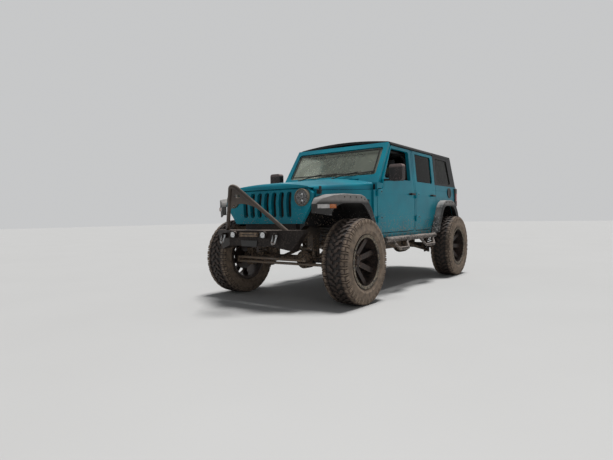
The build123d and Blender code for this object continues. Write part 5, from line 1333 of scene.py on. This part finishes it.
@dataclass
class Cushion:
    """A padded seat piece: a rounded block swelled by cloth under a little pressure."""

    name: str
    x: Flat
    y: Flat
    z: Flat
    lean: float = 0.0
    voxel: float = 0.016
    swell: float = 0.022

    def shell(self) -> bpy.types.Object:
        """The block that the cloth starts from, leaned backwards about its foot."""
        draft = Draft()
        inset = self.swell * 1000
        draft.block((self.x[0] + inset, self.x[1] - inset), (self.y[0] + inset, self.y[1] - inset),
                    (self.z[0] + inset, self.z[1] - inset), bevel=min(26.0, inset * 2.2))
        made = draft.finish(self.name, Shop.SEAT)
        foot = at(0, self.y[0], self.z[0])
        turn = Matrix.Rotation(math.radians(-self.lean), 4, "X")
        made.data.transform(Matrix.Translation(foot) @ turn @ Matrix.Translation(-foot))
        return made

    def swelled(self, piece: bpy.types.Object) -> None:
        """Run the cloth under pressure and keep its result, no point moved past the swell."""
        remesh = piece.modifiers.new("remesh", "REMESH")
        remesh.mode = "VOXEL"
        remesh.voxel_size = self.voxel
        bake(piece)
        start = [v.co.copy() for v in piece.data.vertices]
        cloth = piece.modifiers.new("cloth", "CLOTH")
        cloth.settings.use_pressure = True
        cloth.settings.uniform_pressure_force = 4.0
        cloth.settings.effector_weights.gravity = 0.0
        cloth.settings.quality = 4
        cloth.point_cache.frame_end = 20
        for frame in range(1, 21):
            bpy.context.scene.frame_set(frame)
        bake(piece)
        bpy.context.scene.frame_set(1)
        for vertex, before in zip(piece.data.vertices, start):
            shift = vertex.co - before
            if shift.length > self.swell:
                vertex.co = before + shift.normalized() * self.swell

    def build(self) -> bpy.types.Object:
        """The finished cushion."""
        piece = self.shell()
        self.swelled(piece)
        smooth = piece.modifiers.new("smooth", "SUBSURF")
        smooth.levels = 1
        smooth.render_levels = 1
        bake(piece)
        piece.data.shade_smooth()
        return piece


def bake(piece: bpy.types.Object) -> None:
    """Keep what a piece's modifiers make as its plain mesh."""
    bpy.context.view_layer.update()
    graph = bpy.context.evaluated_depsgraph_get()
    data = bpy.data.meshes.new_from_object(piece.evaluated_get(graph))
    materials = list(piece.data.materials)
    old = piece.data
    piece.modifiers.clear()
    piece.data = data
    if not data.materials:
        for material in materials:
            data.materials.append(material)
    bpy.data.meshes.remove(old)


@dataclass
class Seats:
    """Front seats and rear bench, with their bases."""

    placer: Placer

    def front(self, side: str, sign: float) -> None:
        """One front seat: base, cushion, back and headrest."""
        low, high = sorted((sign * 190.0, sign * 610.0))
        base = Draft()
        base.block((low + 40, high - 40), (1240, 1660), (741, 960), bevel=18)
        middle = (low + high) / 2
        for offset in (-70.0, 70.0):
            base.rod(at(middle + offset, 1772, 1600), at(middle + offset, 1784, 1690), 7)
        self.placer.set(base.finish(f"seat_base_{side}", Shop.TRIM), "body", "seat_fabric",
                        ["front_seats"])
        parts = [
            Cushion(f"seat_cushion_{side}", (low, high), (1200, 1690), (950, 1088)),
            Cushion(f"seat_back_{side}", (low + 6, high - 6), (1596, 1700), (1084, 1640), 10.5),
            Cushion(f"headrest_{side}", (low + 84, high - 84), (1722, 1800), (1668, 1798), 5.0),
        ]
        for part in parts:
            piece = part.build()
            self.placer.set(piece, "body", "seat_fabric", ["front_seats"])

    def rear(self) -> None:
        """The rear bench: base, cushions and backs in two halves."""
        base = Draft()
        base.block((-500, 500), (2110, 2372), (741, 960), bevel=14)
        base.block((-500, 500), (2378, 2540), (857, 960), bevel=14)
        self.placer.set(base.finish("bench_base", Shop.TRIM), "body", "seat_fabric", ["rear_seat"])
        for name, x in (("left", (6.0, 528.0)), ("right", (-528.0, -6.0))):
            parts = [
                Cushion(f"bench_cushion_{name}", x, (2082, 2556), (950, 1098)),
                Cushion(f"bench_back_{name}", x, (2474, 2560), (1094, 1640), 9.2),
            ]
            for part in parts:
                piece = part.build()
                self.placer.set(piece, "body", "seat_fabric", ["rear_seat"])

    def build(self) -> None:
        """Make the seats."""
        for side, sign in SIDES.items():
            self.front(side, sign)
        self.rear()


@dataclass
class Trim:
    """Small parts of the body: handles, latches, seals, wipers, vents, hinges and bolts."""

    trees: Trees
    placer: Placer
    handle_z: float = 1255.0
    crown_z: float = 1436.0
    crown_radius: float = 3363.5

    def handles(self) -> None:
        """A pull, its two feet and a round lock on every door."""
        for end, station in (("front", 1724.0), ("rear", 2500.0)):
            for side, sign in SIDES.items():
                draft = Draft()
                for y in (station - 104, station - 4):
                    low, high = sorted((sign * 788.0, sign * 818.0))
                    draft.block((low, high), (y, y + 20), (self.handle_z - 13, self.handle_z + 13),
                                bevel=4)
                low, high = sorted((sign * 812.0, sign * 827.0))
                draft.block((low, high), (station - 112, station + 22),
                            (self.handle_z - 14, self.handle_z + 14), bevel=6)
                draft.rod(at(sign * 789, station - 128, self.handle_z),
                          at(sign * 799, station - 128, self.handle_z), 11, 20)
                piece = draft.finish(f"door_handle_{end}_{side}", Shop.TRIM)
                self.placer.set(piece, f"door_{end}_{side}", "hardtop_black")

    def latches(self) -> None:
        """The hood's side latches, each a foot on the fender and a hook over the hood's edge."""
        for side, sign in SIDES.items():
            draft = Draft()
            frame = standing(at(sign * 640, -372, 1243), Vector((0, 1, 0)),
                             Vector((sign, -0.14, 0)))
            draft.prism(frame, [(-34, -40), (34, -40), (30, 6), (-30, 6)], 16, bevel=4)
            draft.prism(frame @ Matrix.Translation(Vector((0, 0, 0.016))),
                        [(-17, -34), (17, -34), (17, 40), (-17, 40)], 14, bevel=5)
            draft.rod(frame @ Vector((-0.026, -0.008, 0.018)), frame @ Vector((0.026, -0.008, 0.018)),
                      9, 16)
            self.placer.set(draft.finish(f"hood_latch_{side}", Shop.TRIM), "body", "hardtop_black")

    def seals(self) -> None:
        """Black rubber round the windscreen."""
        draft = Draft()
        rake = math.atan2(1114.0 - 742.0, 1918.0 - 1369.0)
        frame = standing(at(0, 742, 1369), Vector((1, 0, 0)),
                         Vector((0, -math.cos(rake), math.sin(rake))))
        inside = rounded([(-668, 151), (668, 151), (661, 582), (-661, 582)], 34, 6)
        outside = rounded([(-696, 123), (696, 123), (688, 610), (-688, 610)], 50, 6)
        draft.band(frame @ Matrix.Translation(Vector((0, 0, -0.004))), outside, inside, 7)
        self.placer.set(draft.finish("windscreen_seal", Shop.SEAL), "body", "hardtop_black")

    def wipers(self) -> None:
        """Two wiper arms with their blades, parked low on the windscreen."""
        rake = math.atan2(1114.0 - 742.0, 1918.0 - 1369.0)
        frame = standing(at(0, 742, 1369), Vector((1, 0, 0)),
                         Vector((0, -math.cos(rake), math.sin(rake))))
        for index, start in enumerate((60.0, -500.0)):
            draft = Draft()
            pivot = frame @ Vector((start / 1000, 0.103, 0.0))
            tip = frame @ Vector(((start + 360) / 1000, 0.19, 0.012))
            draft.turned(facing(pivot, frame.to_3x3() @ Vector((0, 0, 1))),
                         [(0, -14), (20, -14), (20, 10), (14, 18), (0, 18)], 24)
            draft.pipe([pivot + frame.to_3x3() @ Vector((0, 0, 0.012)),
                        frame @ Vector(((start + 170) / 1000, 0.145, 0.022)), tip], 6.5, 10)
            blade = [frame @ Vector(((start + 130 + k * 46) / 1000, 0.172 + 0.003 * k, -0.008))
                     for k in range(11)]
            draft.pipe(blade, 6.0, 8)
            self.placer.set(draft.finish(f"wiper_{index + 1}", Shop.TRIM), "body",
                            "hardtop_black")

    def cowl(self) -> None:
        """The slotted black vent that follows the cowl's crown in front of the windscreen."""
        plate = Draft()
        plate.prism(standing(at(0, 746, 0), Vector((1, 0, 0)), Vector((0, -1, 0))),
                    crowned(560, self.crown_radius, self.crown_z, -1, 3), 56)
        slat = Draft()
        slat.prism(standing(at(0, 698, 0), Vector((1, 0, 0)), Vector((0, -1, 0))),
                   crowned(536, self.crown_radius, self.crown_z, 2, 6), 4)
        row = self.trees.row.grow(slat.finish("cowl_slats", Shop.TRIM), Count=5,
                                  Pitch=(0.0, 0.0105, 0.0), Material=Shop.TRIM.material())
        self.placer.set(joined("cowl_vent", [plate.finish("plate", Shop.TRIM), row]), "body",
                        "hardtop_black")

    def hinges(self) -> None:
        """Strap plates with bolts at every door hinge."""
        for end, station in (("front", 645.0), ("rear", 1800.0)):
            for side, sign in SIDES.items():
                draft, spots = Draft(), []
                for z in (920.0, 1240.0):
                    low, high = sorted((sign * 791.0, sign * 799.0))
                    draft.block((low, high), (station + 34, station + 132), (z - 6, z + 46),
                                bevel=3)
                    for y in (station + 82, station + 116):
                        spots.append((at(sign * 799, y, z + 20), Vector((sign, 0, 0))))
                strap = draft.finish("strap", Shop.BODY)
                bolts = self.trees.bolted("bolts", spots, 7.0, 4.5, Shop.BOLT)
                self.placer.set(joined(f"hinge_straps_{end}_{side}", [strap, bolts]),
                                f"door_{end}_{side}", "body_paint")

    def mirrors(self) -> None:
        """The silvered glass of the door mirrors, which looks back."""
        for side, sign in SIDES.items():
            draft = Draft()
            frame = standing(at(sign * 956, 908, 1490), Vector((-1, 0, 0)), Vector((0, 1, 0)))
            draft.prism(frame, rounded([(-78, -90), (78, -90), (78, 90), (-78, 90)], 30, 5), 2)
            self.placer.set(draft.finish(f"mirror_glass_{side}", Shop.SILVER),
                            f"door_front_{side}", "mirror_housing")

    def flare_bolts(self) -> None:
        """Screws along the outer faces of the flares."""
        front = [(-259, 1166), (-140, 1168), (-20, 1168), (96, 1166), (170, 1148), (244, 1098),
                 (316, 1025), (403, 899), (465, 800)]
        rear = [(-552, 760), (-517, 818), (-443, 953), (-377, 1064), (-303, 1130), (-213, 1161),
                (-80, 1164), (56, 1163), (156, 1135), (237, 1079), (304, 997), (370, 889),
                (440, 790)]
        for side, sign in SIDES.items():
            spots = []
            for axle, table in ((0.0, front), (3008.0, rear)):
                for y, z in table:
                    spots.append((at(sign * 890, axle + y, z), Vector((sign, 0, 0))))
            self.placer.set(self.trees.bolted(f"flare_screws_{side}", spots, 6.5, 4.0, Shop.BOLT),
                            "body", "flare_plastic")

    def roof(self) -> None:
        """Gutters along the roof's edges and the seams between its panels."""
        draft = Draft()
        for sign in SIDES.values():
            low, high = sorted((sign * 721.0, sign * 736.0))
            draft.block((low, high), (1180, 3392), (1890, 1902), bevel=4)
        draft.block((-640, 640), (1690, 1704), (1930, 1950))
        made = draft.finish("roof_gutters", Shop.HARDTOP)
        self.placer.set(made, "body", "hardtop_black")

    def fuel_door(self) -> None:
        """The round fuel filler on the left rear quarter."""
        draft = Draft()
        frame = standing(at(790, 3200, 1318), Vector((0, 1, 0)), Vector((1, 0, 0)))
        draft.turned(frame, [(0, 4), (52, 4), (58, 6), (66, 6), (76, 10), (84, 6), (84, -2),
                             (0, -2)], 40)
        self.placer.set(draft.finish("fuel_filler", Shop.TRIM), "body", "hardtop_black")

    def build(self) -> None:
        """Make all the trim."""
        for step in (self.handles, self.latches, self.seals, self.wipers, self.cowl,
                     self.hinges, self.mirrors, self.flare_bolts, self.roof, self.fuel_door):
            step()


def crowned(half: float, radius: float, top: float, low: float, high: float) -> list[Flat]:
    """A thin band's outline between two heights over a circle's crown.

    Args:
        half: How far the band reaches to each side.
        radius: The circle's radius.
        top: The height of the circle's highest point.
        low: The band's lower face over the circle.
        high: The band's upper face over the circle.

    Returns:
        The outline, along the lower face and back along the upper.
    """
    spots = [half * k / 14 for k in range(-14, 15)]
    arc = [(x, top - radius + math.sqrt(radius ** 2 - x ** 2)) for x in spots]
    return [(x, z + low) for x, z in arc] + [(x, z + high) for x, z in reversed(arc)]


def rounded(outline: Sequence[Flat], radius: float, steps: int) -> list[Flat]:
    """The outline with each corner replaced by an arc's points.

    Args:
        outline: The corners.
        radius: The arcs' radius.
        steps: How many points each arc has.

    Returns:
        The rounded outline.
    """
    made: list[Flat] = []
    count = len(outline)
    for i in range(count):
        before, here, after = (Vector(outline[(i + k) % count]) for k in (-1, 0, 1))
        back, ahead = (before - here).normalized(), (after - here).normalized()
        half = back.angle(ahead) / 2
        reach = radius / math.tan(half)
        start, end = here + back * reach, here + ahead * reach
        centre = here + (back + ahead).normalized() * (radius / math.sin(half))
        for k in range(steps):
            share = k / (steps - 1)
            mid = (start - centre).slerp(end - centre, share)
            made.append(tuple(centre + mid))
    return made


@dataclass
class Armour:
    """What is bolted to the front and rear: fairlead, a blank plate, step treads, the radiator baffle
    and the tailgate's handle.
    """

    trees: Trees
    placer: Placer

    def fairlead(self) -> None:
        """The rope fairlead with a black plate filling its slot as painted shade, and the blank plate
        hung below it.
        """
        frame = standing(at(0, -756, 781), Vector((1, 0, 0)), Vector((0, -1, 0)))
        draft = Draft()
        outside = rounded([(-142, -34), (142, -34), (142, 34), (-142, 34)], 14, 5)
        inside = rounded([(-106, -22), (106, -22), (106, 22), (-106, 22)], 18, 5)
        draft.band(frame, outside, inside, 22)
        lead = draft.finish("lead", Shop.WORN)
        # A flat black plate fills the fairlead's opening: painted shade standing for the dark recess
        # behind it.
        slot_shade_plate = Draft()
        slot_shade_plate.prism(frame, inside, 12)
        slot = slot_shade_plate.finish("slot", Shop.LAMP_BLACK)
        bolts = self.trees.bolted("lead_bolts", [(frame @ Vector((u, 0, 0.022)),
                                                  Vector((0, -1, 0))) for u in (-0.123, 0.123)],
                                  9.0, 7.0, Shop.BOLT)
        self.placer.set(joined("rope_fairlead", [lead, slot, bolts]), "body", "bumper_paint")
        plate = Draft()
        low = standing(at(0, -763, 688), Vector((1, 0, 0)), Vector((0, -1, 0)))
        plate.prism(low, rounded([(-126, -58), (126, -58), (152, 56), (-152, 56)], 26, 6), 4)
        self.placer.set(plate.finish("blank_plate_front", Shop.CAGE), "body", "bumper_paint")

    def treads(self) -> None:
        """Raised studs on the step tubes and flat pads on the loops."""
        for side, sign in SIDES.items():
            parts = []
            pad = Draft()
            for low, high in ((1018.0, 1262.0), (1904.0, 2170.0)):
                inner, outer = sorted((sign * 884.0, sign * 946.0))
                pad.block((inner, outer), (low, high), (557, 562), bevel=2)
            parts.append(pad.finish("pads", Shop.STEP))
            stud = Draft()
            stud.turned(facing(at(sign * 846, 800, 697), Vector((0, 0, 1))),
                        [(0, -2), (9, -2), (7, 3), (0, 3)], 10)
            parts.append(self.trees.row.grow(stud.finish("studs", Shop.STEP), Count=52,
                                             Pitch=(0.0, 0.03, 0.0),
                                             Material=Shop.STEP.material()))
            self.placer.set(joined(f"step_treads_{side}", parts), "body", "step_paint")

    def rear(self) -> None:
        """The tailgate's handle."""
        grip = Draft()
        grip.block((440, 560), (3548, 3576), (1338, 1368), bevel=6)
        self.placer.set(grip.finish("tailgate_handle", Shop.TRIM), "tailgate", "hardtop_black")

    def baffle(self) -> None:
        """The dark sheet that closes the gap between the radiator's top and the hood."""
        sheet = Draft()
        sheet.block((-400, 400), (-404, -398), (1192, 1240), bevel=1)
        self.placer.set(sheet.finish("radiator_baffle", Shop.CORE), "body", "radiator_black")

    def build(self) -> None:
        """Make the armour's small parts."""
        self.fairlead()
        self.baffle()
        self.treads()
        self.rear()


@dataclass
class Cockpit:
    """What shows through the open windows: a blank screen, vents, console and lever."""

    trees: Trees
    placer: Placer

    def build(self) -> None:
        """Make the dashboard's parts and the console."""
        draft = Draft()
        face = standing(at(0, 960, 1236), Vector((-1, 0, 0)), Vector((0, 1, 0.03)))
        for u in (-560, -250, 130, 560):
            vent = face @ Matrix.Translation(Vector((u / 1000, -0.004, 0)))
            draft.turned(vent, [(0, 2), (28, 2), (30, 10), (36, 12), (40, 4), (40, -10), (0, -10)],
                         28)
        draft.prism(face @ Matrix.Translation(Vector((-0.02, -0.01, 0.0))),
                    rounded([(-105, -58), (105, -58), (105, 58), (-105, 58)], 12, 4), 12)
        draft.block((-110, 110), (980, 1640), (988, 1040), bevel=16)
        draft.rod(at(30, 1130, 1036), at(30, 1118, 1150), 9)
        draft.turned(facing(at(30, 1117, 1150), Vector((0, 0, 1))),
                     [(0, -6), (16, 0), (24, 14), (22, 30), (12, 40), (0, 42)], 20)
        self.placer.set(draft.finish("dash_fittings", Shop.TRIM), "body", "dash_plastic")


@dataclass
class Studio:
    """The floor, the soft lamps and the camera at the photograph's viewing angle."""

    eye: Point = (3408.0, -4370.0, 961.0)
    azimuth: float = 36.26
    pitch: float = -1.62
    roll: float = -0.83
    focal_pixels: float = 461.7
    frame_width: float = 613.0

    def camera(self) -> None:
        """Stand the camera where the photograph was taken."""
        data = bpy.data.cameras.new("camera")
        data.sensor_width = 36.0
        data.lens = self.focal_pixels / self.frame_width * data.sensor_width
        data.clip_end = 200.0
        made = bpy.data.objects.new("camera", data)
        azimuth, pitch, roll = (math.radians(v) for v in (self.azimuth, self.pitch, self.roll))
        ahead = Vector((-math.sin(azimuth) * math.cos(pitch), math.cos(azimuth) * math.cos(pitch),
                        math.sin(pitch)))
        right = Vector((math.cos(azimuth), math.sin(azimuth), 0))
        up = right.cross(ahead)
        turned_right = right * math.cos(roll) + up * math.sin(roll)
        turned_up = up * math.cos(roll) - right * math.sin(roll)
        matrix = Matrix((turned_right, turned_up, -ahead)).transposed().to_4x4()
        matrix.translation = at(*self.eye)
        made.matrix_world = matrix
        bpy.context.scene.collection.objects.link(made)
        bpy.context.scene.camera = made

    def lamp(self, name: str, place: Point, aim: Point, size: float, power: float) -> None:
        """A square soft lamp, in metres, aimed at a point."""
        data = bpy.data.lights.new(name, "AREA")
        data.shape = "SQUARE"
        data.size = size
        data.energy = power
        made = bpy.data.objects.new(name, data)
        made.matrix_world = facing(Vector(place), Vector(place) - Vector(aim))
        bpy.context.scene.collection.objects.link(made)

    def floor(self) -> None:
        """A wide pale floor."""
        draft = Draft()
        verts = [draft.mesh.verts.new(p) for p in ((-60, -60, 0), (60, -60, 0), (60, 60, 0),
                                                   (-60, 60, 0))]
        draft.mesh.faces.new(verts)
        graph = Graph("pale_floor")
        tone = graph.blend(graph.noise(0.6, 3.0), (0.5, 0.495, 0.485), (0.54, 0.535, 0.525))
        material = graph.shade(Base_Color=tone, Roughness=0.85)
        made = draft.finish("floor", Shop.TRIM)
        made.data.materials[0] = material

    def world(self) -> None:
        """An even pale sky, seen paler than it lights."""
        world = bpy.data.worlds.new("studio")
        world.use_nodes = True
        tree = world.node_tree
        back = tree.nodes["Background"]
        back.inputs[0].default_value = (0.84, 0.9, 0.97, 1.0)
        back.inputs[1].default_value = 0.13
        seen = tree.nodes.new("ShaderNodeBackground")
        seen.inputs[0].default_value = (0.57, 0.575, 0.58, 1.0)
        path = tree.nodes.new("ShaderNodeLightPath")
        shares = path.outputs["Is Camera Ray"]
        for name in ("Is Glossy Ray", "Is Transmission Ray"):
            more = tree.nodes.new("ShaderNodeMath")
            more.operation = "MAXIMUM"
            tree.links.new(shares, more.inputs[0])
            tree.links.new(path.outputs[name], more.inputs[1])
            shares = more.outputs[0]
        mix = tree.nodes.new("ShaderNodeMixShader")
        tree.links.new(shares, mix.inputs[0])
        tree.links.new(back.outputs[0], mix.inputs[1])
        tree.links.new(seen.outputs[0], mix.inputs[2])
        tree.links.new(mix.outputs[0], tree.nodes["World Output"].inputs[0])
        bpy.context.scene.world = world

    def sun(self, direction: Point, strength: float, spread: float) -> None:
        """A wide, far lamp that lights the floor evenly.

        Args:
            direction: The way to the lamp.
            strength: Its strength.
            spread: How wide it looks, in degrees; wide makes soft shadows.
        """
        data = bpy.data.lights.new("key", "SUN")
        data.energy = strength
        data.angle = math.radians(spread)
        made = bpy.data.objects.new("key", data)
        made.matrix_world = facing(Vector((0, 0, 6)), Vector(direction))
        bpy.context.scene.collection.objects.link(made)

    def build(self) -> None:
        """Set the stage."""
        bpy.context.scene.view_settings.view_transform = "Standard"
        self.camera()
        self.floor()
        self.world()
        self.sun((0.04, 0.2, 1.0), 3.3, 18.0)
        self.lamp("fill", (4.5, -6.0, 3.0), (0.0, -0.5, 0.8), 4.0, 30.0)


def dress_nodes(placer: Placer) -> None:
    """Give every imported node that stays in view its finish.

    Args:
        placer: What gives the finishes.
    """
    placer.dress(Shop.BODY, "windshield_frame", "grille", "hood", "tailgate")
    placer.dress(Shop.TUB, "body_tub", "door_front_left", "door_front_right", "door_rear_left",
                 "door_rear_right")
    placer.dress(Shop.FENDER, "front_fenders")
    placer.dress(Shop.HARDTOP, "hardtop")
    placer.dress(Shop.WINDOW, "fixed_windows")
    placer.dress(Shop.DOOR_GLASS, "door_window_rear_left", "door_window_rear_right")
    placer.dress(Shop.FLARE, "fender_flares")
    placer.dress(Shop.ARMOUR, "front_bumper", "rear_bumper")
    placer.dress(Shop.STINGER, "stinger_bar")
    placer.dress(Shop.STEP, "side_steps")
    placer.dress(Shop.SHACKLE, "tow_shackles")
    placer.dress(Shop.CHASSIS, "frame", "floor_pan", "lower_arms", "upper_arms", "track_bars")
    placer.dress(Shop.CASTING, "front_axle", "rear_axle", "knuckle_left", "knuckle_right",
                 "pitman_arm")
    placer.dress(Shop.STEEL, "driveshafts", "tie_rod", "drag_link")
    placer.dress(Shop.SHOCK, "shock_absorbers")
    placer.dress(Shop.ENGINE, "engine_and_gearbox")
    placer.dress(Shop.TANK, "fuel_tank")
    placer.dress(Shop.EXHAUST, "exhaust")
    placer.dress(Shop.CORE, "radiator")
    placer.dress(Shop.DASH, "dashboard")
    placer.dress(Shop.CAGE, "roll_cage")
    placer.dress(Shop.MIRROR_SHELL, "mirror_left", "mirror_right")


def main() -> None:
    """Build the stage and the vehicle's looks in order."""
    logging.basicConfig(level=logging.INFO, format="%(name)s: %(message)s")
    placer = Placer()
    trees = Trees(BoltTree(), RingTree(), RowTree(), CoilTree())
    Studio().build()
    dress_nodes(placer)
    Wheels(trees, placer).build()
    Lamps(trees, placer).build()
    Springs(trees, placer).build()
    Trim(trees, placer).build()
    Armour(trees, placer).build()
    Cockpit(trees, placer).build()
    Seats(placer).build()


if __name__ == "__main__":
    main()
